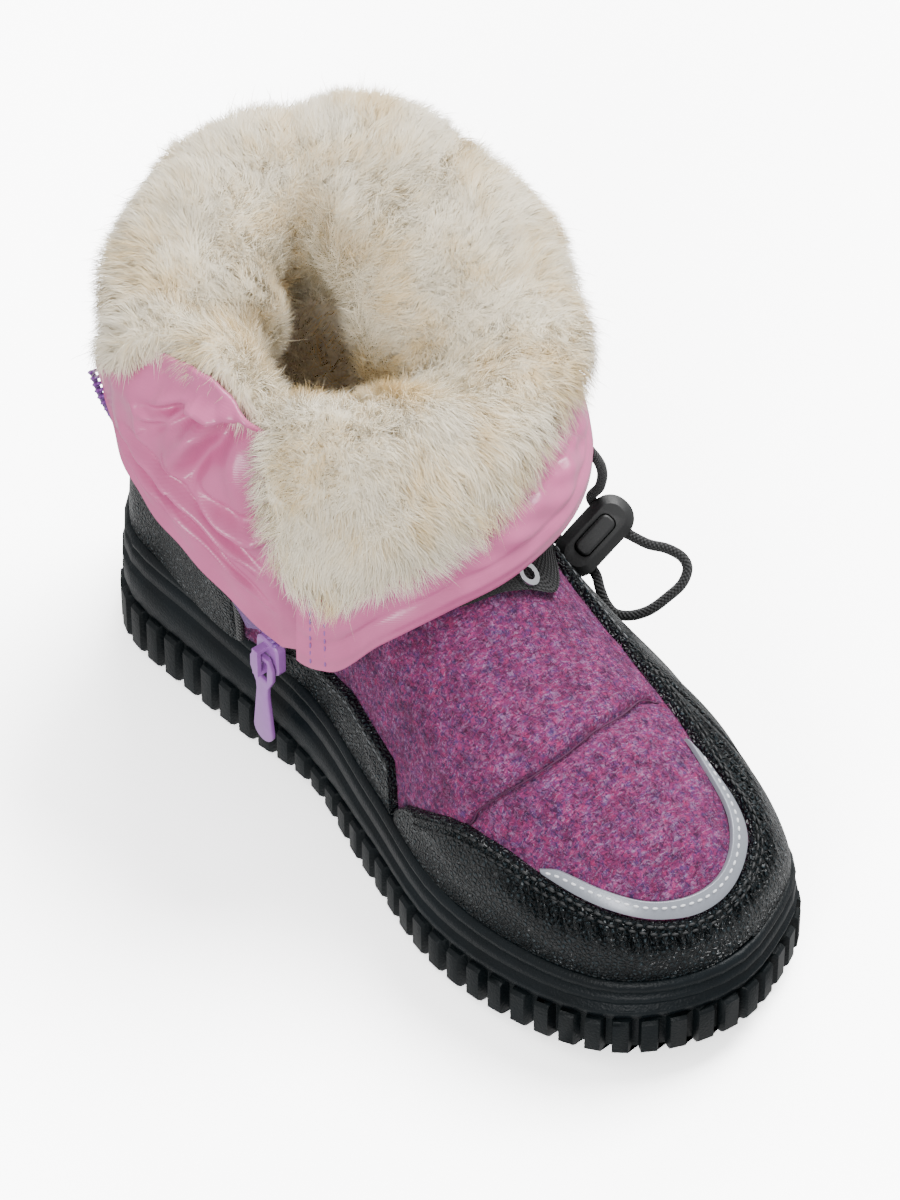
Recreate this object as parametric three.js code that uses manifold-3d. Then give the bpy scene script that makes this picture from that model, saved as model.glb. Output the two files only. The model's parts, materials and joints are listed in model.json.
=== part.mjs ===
import * as THREE from 'three';
import { mergeVertices } from 'three/addons/utils/BufferGeometryUtils.js';
import Module from 'manifold-3d';

const wasm = await Module();
wasm.setup();

// Driving sizes, in millimetres. X runs from heel to toe, Y to the wearer's left, Z up.
const LENGTH = 216;           // outsole, back of the heel to the tip of the toe
const BALL_WIDTH = 85;        // outsole at the ball of the foot
const HEEL_SEAT = 45;         // back of the heel to the origin, under the heel pad
const FIT = 0.3;              // clearance between pieces that touch
const RIB_COUNT = 78;         // upright ribs round the side of the outsole
const RIB_DEPTH = 2.6;
const SOLE_STEPS = 80;        // samples round the midsole
const RIM_INSET = 5;          // outline of the outsole to the outside of the upper
const CUP_DEPTH = 8;          // rim of the sole down to the footbed
const FELT = 3;               // wall of the upper
const LEATHER = 1.6;
const SEAT = 0.5;             // panel off the upper: the fit and the height of its facets
const INSOLE = 5;
const UPPER_STEPS = 60;       // samples round the upper
const ANKLE = { x: 60, y: -3, front: 44, side: 35, rise: 50 };
const UPPER_TOP = 54;         // height of the upper's top edge over the rim
const CUFF = { x: 62, y: 0, foot: 91 };   // axis of the shaft, and height of its lower edge
const NYLON = 1.4;
const FUR = 9;
const ZIP = { tape: 1.0, width: 7, tooth: 2.4, thick: 2.4, pitch: 3.2, teeth: 5 };
const SLIDER = { x: 84, y: -34.2, z: 42.5, width: 8, height: 10, depth: 3 };
const PULL = { thick: 1.4, drop: 28, play: 0.45 };
const TOGGLE = { x: 107.5, y: 43.5, z: 49, length: 22, width: 11, depth: 9, holes: 6 };
const BUTTON = { length: 11, width: 4, depth: 3.6, proud: 1.3, travel: 1 };
const CORD = 2.5;
const SEAM = { height: 37, step: 0.9 };   // raised edge across the vamp

// Outline of the outsole, from the back of the heel round by the medial side.
// along: share of LENGTH, across: share of BALL_WIDTH, lateral positive
const OUTLINE = [
  { along: 0.001, across: 0.0 },
  { along: 0.037, across: -0.2 },
  { along: 0.108, across: -0.38 },
  { along: 0.248, across: -0.39 },
  { along: 0.421, across: -0.365 },
  { along: 0.558, across: -0.435 },
  { along: 0.7, across: -0.51 },
  { along: 0.819, across: -0.485 },
  { along: 0.933, across: -0.38 },
  { along: 0.985, across: -0.22 },
  { along: 1.0, across: -0.05 },
  { along: 0.98, across: 0.12 },
  { along: 0.935, across: 0.3 },
  { along: 0.829, across: 0.42 },
  { along: 0.698, across: 0.475 },
  { along: 0.55, across: 0.45 },
  { along: 0.4, across: 0.4 },
  { along: 0.25, across: 0.4 },
  { along: 0.119, across: 0.37 },
  { along: 0.028, across: 0.24 },
];

// Heights of the sole along the boot: ground side, top of the ribs, groove, rim.
const SOLE = [
  { along: 0.0, ground: 0.8, ribs: 14, step: 26, rim: 35 },
  { along: 0.06, ground: 0, ribs: 14, step: 26, rim: 35 },
  { along: 0.25, ground: 0, ribs: 13.5, step: 25, rim: 34 },
  { along: 0.34, ground: 0, ribs: 12, step: 22.5, rim: 31.8 },
  { along: 0.44, ground: 2.2, ribs: 9.5, step: 20, rim: 29.2 },
  { along: 0.54, ground: 0, ribs: 10.5, step: 18, rim: 27 },
  { along: 0.7, ground: 0, ribs: 11, step: 16.5, rim: 24.6 },
  { along: 0.85, ground: 2.0, ribs: 13, step: 18, rim: 25.4 },
  { along: 0.94, ground: 5.1, ribs: 16.2, step: 21, rim: 28 },
  { along: 1.0, ground: 8, ribs: 19, step: 23.5, rim: 30.5 },
];

// Ridge of the upper: height over the rim at each station, and its shift to the medial side
// as a share of the half width.
const RIDGE = [
  { along: 0.0, height: 150, shift: 0 },
  { along: 0.4, height: 120, shift: 0.1 },
  { along: 0.486, height: 68, shift: 0.2 },
  { along: 0.532, height: 57, shift: 0.25 },
  { along: 0.579, height: 50.5, shift: 0.27 },
  { along: 0.648, height: 44.5, shift: 0.26 },
  { along: 0.741, height: 38.5, shift: 0.18 },
  { along: 0.833, height: 32, shift: 0.08 },
  { along: 0.9, height: 25, shift: 0.03 },
  { along: 0.945, height: 15.5, shift: 0 },
  { along: 0.965, height: 7, shift: 0 },
  { along: 0.977, height: 0, shift: 0 },
];

// Levels at which the upper is sampled at the toe, over the rim; the first stands on the
// footbed, and two of them lie at the seam across the vamp.
const LEVELS = [-7.7, 0, 4, 9, 15, 21, 26, 30, 33.5, 36.8, 37.4, 40, 43, 46.5, 50, UPPER_TOP];

// Height of that seam round the upper, from the heel by the medial side
const SEAM_LINE = [
  { share: 0, height: 30 },
  { share: 0.25, height: 24 },
  { share: 0.35, height: 20.5 },
  { share: 0.412, height: 31 },
  { share: 0.456, height: 36 },
  { share: 0.489, height: 37 },
  { share: 0.534, height: 34 },
  { share: 0.58, height: 30 },
  { share: 0.7, height: 26 },
  { share: 1, height: 30 },
];

// The turned-down cuff round its axis. turn: degrees from the front by the lateral side,
// wall: radius of the upright wall, fold: radius of the fold, top: height of the fur there,
// skirt and hem: radius and height of the lower edge, fur: height where the fur ends,
// pile: depth of the fur inside
const CUFF_ROWS = [
  { turn: 0, wall: 37, fold: 43, top: 118, skirt: 66, hem: 80.5, fur: 92, pile: 11 },
  { turn: 15, wall: 37, fold: 45, top: 113, skirt: 66, hem: 82.5, fur: 94, pile: 14 },
  { turn: 30, wall: 37, fold: 46, top: 110, skirt: 64, hem: 83, fur: 93, pile: 17 },
  { turn: 60, wall: 37, fold: 46, top: 112, skirt: 58, hem: 82, fur: 91, pile: 18 },
  { turn: 90, wall: 38, fold: 47, top: 123, skirt: 58, hem: 82, fur: 92, pile: 15 },
  { turn: 135, wall: 38, fold: 45, top: 137, skirt: 58, hem: 84, fur: 98, pile: 13 },
  { turn: 180, wall: 35, fold: 41, top: 134, skirt: 56, hem: 86, fur: 100, pile: 14 },
  { turn: 225, wall: 32, fold: 37, top: 127, skirt: 49, hem: 92, fur: 106, pile: 18 },
  { turn: 240, wall: 32, fold: 37, top: 125, skirt: 47, hem: 97, fur: 110, pile: 18 },
  { turn: 255, wall: 32, fold: 37, top: 126, skirt: 43, hem: 106, fur: 116, pile: 16 },
  { turn: 272, wall: 32, fold: 36, top: 127, skirt: 41, hem: 110, fur: 119, pile: 14 },
  { turn: 291, wall: 33, fold: 37, top: 123, skirt: 42, hem: 106, fur: 116, pile: 12 },
  { turn: 303, wall: 34, fold: 39, top: 121, skirt: 46, hem: 100, fur: 110, pile: 11 },
  { turn: 312, wall: 36, fold: 41, top: 123, skirt: 59, hem: 68, fur: 85, pile: 10 },
  { turn: 322, wall: 37, fold: 42, top: 124, skirt: 63, hem: 63, fur: 79, pile: 10 },
  { turn: 332, wall: 37, fold: 43, top: 124, skirt: 65, hem: 72.5, fur: 85, pile: 10 },
  { turn: 345, wall: 37, fold: 43, top: 122, skirt: 66, hem: 79, fur: 89, pile: 10 },
];

// The gusset between the halves of the zip: its edges and its bulge.
const GUSSET = [
  { turn: 240, base: 103, foot: 50, top: 109.8, head: 47 },
  { turn: 250, base: 98, foot: 50, top: 114.8, head: 43.5 },
  { turn: 262, base: 91, foot: 50.5, top: 116.8, head: 41 },
  { turn: 275, base: 85, foot: 50.5, top: 117.8, head: 40 },
  { turn: 288, base: 78, foot: 50.5, top: 115.8, head: 40 },
  { turn: 300, base: 68.5, foot: 50.5, top: 110.8, head: 42 },
  { turn: 310, base: 60, foot: 51, top: 102.8, head: 44 },
];

function ease(t) {
  const s = Math.min(1, Math.max(0, t));
  return s * s * (3 - 2 * s);
}

function lerp(a, b, t) {
  return a + (b - a) * t;
}

// Smooth reading of one column of a table; a turning table closes on itself.
function read(rows, key, column, at, period = 0) {
  const count = rows.length;
  const row = (i) => {
    if (!period) return rows[Math.min(count - 1, Math.max(0, i))];
    return rows[((i % count) + count) % count];
  };
  const place = (i) => row(i)[key] + (period ? Math.floor(i / count) * period : 0);
  let value = at;
  if (period) value = ((at % period) + period) % period;
  let i = 0;
  const last = period ? count - 1 : count - 2;
  while (i < last && value > place(i + 1)) i += 1;
  if (value < place(0)) i = period ? -1 : 0;
  const span = place(i + 1) - place(i);
  const t = Math.min(1, Math.max(0, (value - place(i)) / span));
  const slope = (j) => {
    const run = place(j + 1) - place(j - 1);
    return run ? (row(j + 1)[column] - row(j - 1)[column]) / run : 0;
  };
  const a = row(i)[column];
  const b = row(i + 1)[column];
  const rise = (b - a) / span;
  const limit = (m) => (rise === 0 || m * rise < 0 ? 0 : Math.sign(m) * Math.min(Math.abs(m), 3 * Math.abs(rise)));
  const m0 = limit(slope(i)) * span;
  const m1 = limit(slope(i + 1)) * span;
  const t2 = t * t;
  const t3 = t2 * t;
  return a * (2 * t3 - 3 * t2 + 1) + m0 * (t3 - 2 * t2 + t) + b * (3 * t2 - 2 * t3) + m1 * (t3 - t2);
}

const sole = (x, column) => read(SOLE, 'along', column, x / LENGTH);

// Closed outline of the outsole as a curve, read by share of its length.
const outlineCurve = new THREE.CatmullRomCurve3(
  OUTLINE.map((row) => new THREE.Vector3(row.along * LENGTH, row.across * BALL_WIDTH, 0)),
  true,
);
outlineCurve.arcLengthDivisions = 1200;

function outlineAt(share, inset) {
  const u = ((share % 1) + 1) % 1;
  const p = outlineCurve.getPointAt(u);
  const d = outlineCurve.getTangentAt(u);
  return new THREE.Vector2(p.x - d.y * inset, p.y + d.x * inset);
}

// Solids

function place(v) {
  return [v.x - HEEL_SEAT, v.y, v.z];
}

function geometryOf(points, faces) {
  const geometry = new THREE.BufferGeometry();
  geometry.setAttribute('position', new THREE.Float32BufferAttribute(points.flatMap(place), 3));
  geometry.setIndex(faces.flat());
  return geometry;
}

// A stack of closed rings from bottom to top, with a flat ladder over each end.
function ringStack(rings) {
  const count = rings[0].length;
  const faces = [];
  for (let j = 0; j + 1 < rings.length; j += 1) {
    for (let i = 0; i < count; i += 1) {
      const a = j * count + i;
      const b = j * count + ((i + 1) % count);
      faces.push([a, b, b + count], [a, b + count, a + count]);
    }
  }
  const top = (rings.length - 1) * count;
  for (let i = 0; i < count / 2; i += 1) {
    const a = i;
    const b = i + 1;
    const c = (count - i - 1) % count;
    const d = (count - i) % count;
    if (b !== c) faces.push([a, c, b], [top + a, top + b, top + c]);
    if (a !== d) faces.push([a, d, c], [top + a, top + c, top + d]);
  }
  return geometryOf(rings.flat(), faces);
}

// A sheet between two grids of points: around by along. It closes round, or has two ends.
function sheet(outer, inner, round) {
  const nu = outer.length;
  const nh = outer[0].length;
  const base = nu * nh;
  const faces = [];
  const last = round ? nu : nu - 1;
  for (let i = 0; i < last; i += 1) {
    const k = (i + 1) % nu;
    for (let j = 0; j + 1 < nh; j += 1) {
      const a = i * nh + j;
      const b = k * nh + j;
      faces.push([a, b, b + 1], [a, b + 1, a + 1]);
      faces.push([base + a, base + b + 1, base + b], [base + a, base + a + 1, base + b + 1]);
    }
    const a = i * nh;
    const b = k * nh;
    faces.push([a, base + a, base + b], [a, base + b, b]);
    const c = a + nh - 1;
    const d = b + nh - 1;
    faces.push([c, base + d, base + c], [c, d, base + d]);
  }
  if (!round) {
    for (let j = 0; j + 1 < nh; j += 1) {
      const a = j;
      faces.push([a, a + 1, base + a + 1], [a, base + a + 1, base + a]);
      const b = (nu - 1) * nh + j;
      faces.push([b, base + b + 1, b + 1], [b, base + b, base + b + 1]);
    }
  }
  return geometryOf([...outer.flat(), ...inner.flat()], faces);
}

function toSolid(geometry) {
  const bare = new THREE.BufferGeometry();
  bare.setAttribute('position', geometry.getAttribute('position').clone());
  if (geometry.index) bare.setIndex(geometry.index.clone());
  const merged = mergeVertices(bare, 1e-4);
  return new wasm.Manifold(new wasm.Mesh({
    numProp: 3,
    vertProperties: new Float32Array(merged.getAttribute('position').array),
    triVerts: new Uint32Array(merged.index.array),
  }));
}

function fromSolid(solid) {
  const mesh = solid.getMesh();
  const geometry = new THREE.BufferGeometry();
  geometry.setAttribute('position', new THREE.Float32BufferAttribute(mesh.vertProperties, 3));
  geometry.setIndex(new THREE.Uint32BufferAttribute(mesh.triVerts, 1));
  return geometry;
}

// An extruded plan: its own X and Y lie along two given directions from a centre.
function plate(shape, depth, centre, along, up, bevel = 0, segments = 4) {
  const geometry = new THREE.ExtrudeGeometry(shape, {
    depth: depth - 2 * bevel,
    bevelEnabled: bevel > 0,
    bevelThickness: bevel,
    bevelSize: bevel,
    bevelOffset: -bevel,
    bevelSegments: 1,
    curveSegments: segments,
  });
  geometry.translate(0, 0, -(depth - 2 * bevel) / 2);
  const x = along.clone().normalize();
  const z = new THREE.Vector3().crossVectors(x, up).normalize();
  const y = new THREE.Vector3().crossVectors(z, x);
  const frame = new THREE.Matrix4().makeBasis(x, y, z);
  frame.setPosition(centre.x - HEEL_SEAT, centre.y, centre.z);
  return geometry.applyMatrix4(frame);
}

function rounded(width, height, radius) {
  const shape = new THREE.Shape();
  const w = width / 2;
  const h = height / 2;
  shape.moveTo(-w + radius, -h);
  shape.lineTo(w - radius, -h);
  shape.absarc(w - radius, -h + radius, radius, -Math.PI / 2, 0, false);
  shape.lineTo(w, h - radius);
  shape.absarc(w - radius, h - radius, radius, 0, Math.PI / 2, false);
  shape.lineTo(-w + radius, h);
  shape.absarc(-w + radius, h - radius, radius, Math.PI / 2, Math.PI, false);
  shape.lineTo(-w, -h + radius);
  shape.absarc(-w + radius, -h + radius, radius, Math.PI, Math.PI * 1.5, false);
  return shape;
}

// Sole

function soleRing(shares, inset, height) {
  return shares.map((share) => {
    const p = outlineAt(share, typeof inset === 'function' ? inset(share) : inset);
    return new THREE.Vector3(p.x, p.y, height(p.x));
  });
}

function evenShares(count) {
  return Array.from({ length: count }, (_, i) => i / count);
}

// Each rib has four samples: two on its face and two in the gap beside it.
function ribShares() {
  const shares = [];
  for (let i = 0; i < RIB_COUNT; i += 1) {
    for (const part of [0.0, 0.56, 0.66, 0.9]) shares.push((i + part) / RIB_COUNT);
  }
  return shares;
}

function ribInset(face) {
  return (share) => {
    const part = (share * RIB_COUNT + 1e-6) % 1;
    return part < 0.6 ? face : face + RIB_DEPTH;
  };
}

// Tread pockets under the sole, as wide and as long as their shares say.
const TREAD = [
  { along: 0.045, half: 0.14 },
  { along: 0.34, half: 0.2 },
  { along: 0.52, half: 0.22 },
  { along: 0.57, half: 0.27 },
  { along: 0.74, half: 0.33 },
  { along: 0.79, half: 0.31 },
  { along: 0.843, half: 0.262 },
  { along: 0.89, half: 0.21 },
];
const TREAD_WIDTH = 4;
const TREAD_DEPTH = 4;

function outsoleGeometry() {
  const shares = ribShares();
  const block = ringStack([
    soleRing(shares, ribInset(1.2), (x) => sole(x, 'ground')),
    soleRing(shares, ribInset(0), (x) => sole(x, 'ground') + 1.2),
    soleRing(shares, ribInset(0), (x) => sole(x, 'ribs') - 0.8),
    soleRing(shares, ribInset(0.8), (x) => sole(x, 'ribs')),
  ]);
  let solid = toSolid(block);
  for (const row of TREAD) {
    const x = row.along * LENGTH;
    const width = 2 * row.half * BALL_WIDTH;
    const centre = new THREE.Vector3(x, 0, sole(x, 'ground'));
    const bar = plate(rounded(TREAD_WIDTH, width, 1.5), 2 * TREAD_DEPTH, centre,
      new THREE.Vector3(1, 0, 0), new THREE.Vector3(0, 1, 0), 0, 2);
    solid = solid.subtract(toSolid(bar));
  }
  return fromSolid(solid);
}

// Side of the midsole from the ribs to the rim and down inside it to the footbed.
// inset: from the outline, base and add: height as a column of SOLE plus millimetres
const SIDE = [
  { inset: 1.6, base: 'ribs', add: FIT },
  { inset: 1.0, base: 'ribs', add: 2 },
  { inset: 0.8, base: 'step', add: -1.4 },
  { inset: 2.2, base: 'step', add: -0.5 },
  { inset: 2.2, base: 'step', add: 0.4 },
  { inset: 1.3, base: 'step', add: 1.1 },
  { inset: 1.7, base: 'rim', add: -4.6 },
  { inset: 2.6, base: 'rim', add: -4.0 },
  { inset: 2.0, base: 'rim', add: -3.2 },
  { inset: 1.6, base: 'rim', add: -1.6 },
  { inset: 2.4, base: 'rim', add: -0.3 },
  { inset: 3.4, base: 'rim', add: 0 },
  { inset: RIM_INSET - FIT, base: 'rim', add: -0.4 },
  { inset: RIM_INSET - FIT, base: 'rim', add: -CUP_DEPTH },
];

function midsoleGeometry() {
  const shares = evenShares(SOLE_STEPS);
  return ringStack(SIDE.map((row) => (
    soleRing(shares, row.inset, (x) => sole(x, row.base) + row.add)
  )));
}

function insoleGeometry() {
  const shares = evenShares(60);
  const inset = RIM_INSET + FELT + 0.5;
  const floor = -CUP_DEPTH + FIT;
  return ringStack([
    soleRing(shares, inset + 0.6, (x) => sole(x, 'rim') + floor),
    soleRing(shares, inset, (x) => sole(x, 'rim') + floor + 1),
    soleRing(shares, inset, (x) => sole(x, 'rim') + floor + INSOLE - 1.2),
    soleRing(shares, inset + 1.5, (x) => sole(x, 'rim') + floor + INSOLE),
  ]);
}

// Upper

// Plan of the upper where it meets the rim, as sides read by station.
const feather = evenShares(240).map((share) => outlineAt(share, RIM_INSET));

function sideAt(x, lateral) {
  let best = 0;
  for (let i = 0; i < feather.length; i += 1) {
    const a = feather[i];
    const b = feather[(i + 1) % feather.length];
    const right = lateral ? a.y > 0 || b.y > 0 : a.y < 0 || b.y < 0;
    if (right && (a.x - x) * (b.x - x) <= 0 && a.x !== b.x) {
      const y = lerp(a.y, b.y, (x - a.x) / (b.x - a.x));
      if (Math.abs(y) > Math.abs(best)) best = y;
    }
  }
  return best;
}

const sides = Array.from({ length: 217 }, (_, x) => ({ out: sideAt(x, true), in: sideAt(x, false) }));

// Height of the foot's skin over the rim at a place in plan.
function crown(x, y) {
  if (x <= feather[0].x || x >= 211.4) return -1;
  const i = Math.floor(x);
  const out = lerp(sides[i].out, sides[i + 1].out, x - i);
  const into = lerp(sides[i].in, sides[i + 1].in, x - i);
  const half = (out - into) / 2;
  const ridge = (out + into) / 2 - half * read(RIDGE, 'along', 'shift', x / LENGTH);
  const side = y > ridge ? (y - ridge) / (out - ridge) : (ridge - y) / (ridge - into);
  if (side >= 1) return -1;
  const full = y > ridge ? 1.85 : 2.5;
  return read(RIDGE, 'along', 'height', x / LENGTH) * (1 - side ** full) ** (1 / full);
}

// Radius from the ankle's axis to the skin, in one direction at one height over the rim.
function reach(turn, height) {
  const dx = Math.cos(turn);
  const dy = Math.sin(turn);
  let low = 8;
  let high = 170;
  for (let i = 0; i < 26; i += 1) {
    const r = (low + high) / 2;
    if (crown(ANKLE.x + dx * r, ANKLE.y + dy * r) >= Math.max(0, height)) low = r;
    else high = r;
  }
  const behind = ease((-dx + 0.3) / 0.9);
  const lean = 1 - 0.2 * behind * (Math.max(0, height) / UPPER_TOP) ** 1.4;
  const foot = low * lean;
  const swell = lerp(0.78, 1, ease(height / ANKLE.rise));
  const leg = swell * (ANKLE.front * ANKLE.side) / Math.hypot(ANKLE.side * dx, ANKLE.front * dy);
  const blend = 8;
  const gap = Math.max(0, 1 - Math.abs(foot - leg) / blend);
  return Math.max(foot, leg) + blend * gap * gap / 4;
}

// Direction of a sample: spread by length of the rim low down, evenly at the ankle.
function heading(share, height) {
  const u = ((share % 1) + 1) % 1;
  const p = outlineAt(u, RIM_INSET);
  const even = Math.PI * (1 + 2 * u);
  const low = Math.atan2(p.y - ANKLE.y, p.x - ANKLE.x);
  const turns = Math.round((even - low) / (Math.PI * 2));
  return lerp(low + turns * Math.PI * 2, even, 0.75 * ease((height - 22) / 40));
}

function skin(share, height) {
  const turn = heading(share, height);
  const r = reach(turn, height);
  const x = ANKLE.x + Math.cos(turn) * r;
  const y = ANKLE.y + Math.sin(turn) * r;
  return new THREE.Vector3(x, y, sole(x, 'rim') + height);
}

// A point off the upper's skin, outward positive.
function offSkin(share, height, off) {
  const p = skin(share, height);
  if (height <= 0) {
    const q = outlineAt(share, RIM_INSET - off);
    return new THREE.Vector3(q.x, q.y, p.z);
  }
  const step = 0.004;
  const a = skin(share + step, height).sub(skin(share - step, height));
  const b = skin(share, height + 1.2).sub(skin(share, Math.max(0, height - 1.2)));
  const n = new THREE.Vector3().crossVectors(a, b).normalize();
  return p.addScaledVector(n, off);
}

// Height of a level round the upper: the levels follow the seam.
function seamLevel(share, level) {
  const seam = read(SEAM_LINE, 'share', 'height', share);
  if (level <= 0) return level;
  if (level <= SEAM.height) return (level * seam) / SEAM.height;
  return lerp(seam, UPPER_TOP, (level - SEAM.height) / (UPPER_TOP - SEAM.height));
}

function upperGeometry() {
  const shares = evenShares(UPPER_STEPS);
  const outer = shares.map((share) => LEVELS.map((level) => {
    const across = ease((share - 0.36) / 0.05) * ease((0.575 - share) / 0.03);
    const above = level > SEAM.height ? 1 - ease((level - SEAM.height) / 6) : 0;
    return offSkin(share, seamLevel(share, level), SEAM.step * across * above);
  }));
  const inner = shares.map((share) => LEVELS.map((level) => (
    offSkin(share, seamLevel(share, level), -FELT)
  )));
  return sheet(outer, inner, true);
}

// A panel laid on the upper between two heights that are read along it.
function panel(from, to, steps, rows, thick, levels, lift) {
  const outer = [];
  const inner = [];
  for (let i = 0; i <= steps; i += 1) {
    const share = lerp(from, to, i / steps);
    const low = read(rows, 'share', 'low', share);
    const high = read(rows, 'share', 'high', share);
    const heights = Array.from({ length: levels + 1 }, (_, j) => lerp(low, high, j / levels));
    inner.push(heights.map((height) => offSkin(share, height, lift)));
    outer.push(heights.map((height, j) => {
      const edge = j === levels ? 0.3 * thick : 0;
      return offSkin(share, height, lift + thick - edge);
    }));
  }
  return sheet(outer, inner, false);
}

// Panels: share round the upper from the heel by the medial side, and heights over the rim
const GUARD = [
  { share: 0.29, low: 0.35, high: 3.5 },
  { share: 0.3, low: 0.35, high: 9 },
  { share: 0.321, low: 0.35, high: 15 },
  { share: 0.349, low: 0.35, high: 21 },
  { share: 0.378, low: 0.35, high: 22.3 },
  { share: 0.406, low: 0.35, high: 20.3 },
  { share: 0.439, low: 0.35, high: 16.8 },
  { share: 0.465, low: 0.35, high: 13.8 },
  { share: 0.49, low: 0.35, high: 12.4 },
  { share: 0.511, low: 0.35, high: 13.7 },
  { share: 0.531, low: 0.35, high: 16.4 },
  { share: 0.544, low: 0.35, high: 20.3 },
  { share: 0.552, low: 0.35, high: 25.5 },
  { share: 0.566, low: 0.35, high: 27.5 },
  { share: 0.586, low: 0.35, high: 29.5 },
  { share: 0.6, low: 0.35, high: 30 },
];
const GUARD_SPAN = { from: 0.29, to: 0.6, steps: 40, levels: 5 };

const COUNTER = [
  { share: -0.165, low: 0.35, high: 33 },
  { share: -0.1, low: 0.35, high: 44 },
  { share: 0.0, low: 0.35, high: 50 },
  { share: 0.06, low: 0.35, high: 50 },
  { share: 0.12, low: 0.35, high: 44 },
  { share: 0.168, low: 0.35, high: 26 },
];
const COUNTER_SPAN = { from: -0.165, to: 0.168, steps: 30, levels: 6 };

const MEDIAL = [
  { share: 0.186, low: 0.35, high: 8.5 },
  { share: 0.196, low: 0.35, high: 9.5 },
  { share: 0.228, low: 0.35, high: 13.5 },
  { share: 0.247, low: 0.35, high: 16 },
  { share: 0.287, low: 0.35, high: 15 },
];
const MEDIAL_SPAN = { from: 0.186, to: 0.287, steps: 13, levels: 4 };

const LATERAL = [
  { share: 0.603, low: 0.35, high: 31 },
  { share: 0.64, low: 0.35, high: 34 },
  { share: 0.7, low: 0.35, high: 35 },
  { share: 0.832, low: 0.35, high: 33 },
];
const LATERAL_SPAN = { from: 0.603, to: 0.832, steps: 26, levels: 6 };

const STRIP = [
  { share: 0.404, low: 20.9, high: 21.5 },
  { share: 0.417, low: 19.6, high: 22.4 },
  { share: 0.439, low: 17.3, high: 20.8 },
  { share: 0.465, low: 14.3, high: 17.8 },
  { share: 0.49, low: 12.9, high: 16.6 },
  { share: 0.511, low: 14.2, high: 18 },
  { share: 0.531, low: 17.8, high: 22.4 },
  { share: 0.542, low: 22, high: 26.4 },
  { share: 0.549, low: 26.6, high: 28.4 },
];
const STRIP_SPAN = { from: 0.404, to: 0.549, steps: 24, levels: 2 };

// Webbing over the instep, half under the cuff
const BAND = [
  { share: 0.4, low: 47, high: 53 },
  { share: 0.458, low: 47, high: 53.4 },
  { share: 0.511, low: 45.3, high: 53.4 },
  { share: 0.551, low: 41, high: 50.5 },
  { share: 0.62, low: 37.5, high: 47 },
];
const BAND_SPAN = { from: 0.43, to: 0.62, steps: 22, levels: 2 };
const BAND_THICK = 1.2;
const BAND_LIFT = 0.9;
const EYELET = { share: 0.53, height: 46.6, radius: 3.1, hole: 1.7, thick: 0.8 };

function spanPanel(rows, span, thick, lift = SEAT) {
  return panel(span.from, span.to, span.steps, rows, thick, span.levels, lift);
}

// A small metal ring standing on the webbing.
function eyeletGeometry() {
  const base = BAND_LIFT + BAND_THICK + FIT + EYELET.thick / 2;
  const centre = offSkin(EYELET.share, EYELET.height, base);
  const above = offSkin(EYELET.share, EYELET.height + 2, base);
  const root = offSkin(EYELET.share, EYELET.height, 0);
  const normal = centre.clone().sub(root).normalize();
  const up = above.sub(centre).normalize();
  const ring = new THREE.Shape();
  ring.absarc(0, 0, EYELET.radius, 0, Math.PI * 2, false);
  const hole = new THREE.Path();
  hole.absarc(0, 0, EYELET.hole, 0, Math.PI * 2, true);
  ring.holes.push(hole);
  const along = new THREE.Vector3().crossVectors(up, normal);
  return plate(ring, EYELET.thick, centre, along, up, 0, 8);
}

// Cuff and shaft

// Centre line of the nylon at one azimuth: up the wall, over the fold and down to the hem.
function nylonPath(turn) {
  const row = (column) => read(CUFF_ROWS, 'turn', column, turn, 360);
  const crest = row('top') - FUR - NYLON / 2;
  const wall = row('wall');
  const fold = row('fold');
  const skirt = row('skirt');
  const hem = row('hem');
  const half = fold - wall;
  const drop = crest - hem;
  const foot = Math.min(CUFF.foot, crest - half - 5);
  return new THREE.CatmullRomCurve3([
    new THREE.Vector3(wall - 0.5, 0, foot),
    new THREE.Vector3(wall - 0.3, 0, lerp(foot, crest - half, 0.5)),
    new THREE.Vector3(wall, 0, crest - half * 0.95),
    new THREE.Vector3(fold - half * 0.6, 0, crest - half * 0.2),
    new THREE.Vector3(fold, 0, crest),
    new THREE.Vector3(fold + half * 0.8, 0, crest - half * 0.35),
    new THREE.Vector3(lerp(fold + half, skirt, 0.45), 0, crest - drop * 0.38),
    new THREE.Vector3(lerp(fold + half, skirt, 0.85), 0, crest - drop * 0.7),
    new THREE.Vector3(skirt, 0, hem),
  ]);
}

function onCuff(turn, radius, z) {
  const a = THREE.MathUtils.degToRad(turn);
  return new THREE.Vector3(CUFF.x + Math.cos(a) * radius, CUFF.y + Math.sin(a) * radius, z);
}

// A point beside the nylon's centre line, positive on the fur's side.
function besideNylon(path, turn, t, off) {
  const p = path.getPoint(t);
  const a = path.getPoint(Math.max(0, t - 0.01));
  const b = path.getPoint(Math.min(1, t + 0.01));
  const d = b.sub(a).normalize();
  return onCuff(turn, p.x - d.z * off, p.z + d.x * off);
}

// Share of the nylon's path at which the fur ends, from its height there.
function furEnd(path, turn) {
  const height = read(CUFF_ROWS, 'turn', 'fur', turn, 360);
  let low = 0.5;
  let high = 1;
  for (let i = 0; i < 20; i += 1) {
    const t = (low + high) / 2;
    if (path.getPoint(t).z > height) low = t;
    else high = t;
  }
  return low;
}

// Nylon and fur are sampled at the same azimuths and the same shares of the path.
const CUFF_TURNS = 64;
const CUFF_STEPS = 10;
const SHAFT_SPAN = { from: 56, to: 106 };   // of those azimuths: open at the zip

function furStops(path, turn) {
  const end = furEnd(path, turn);
  return Array.from({ length: CUFF_STEPS + 1 }, (_, j) => lerp(0.02, end, j / CUFF_STEPS));
}

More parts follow.
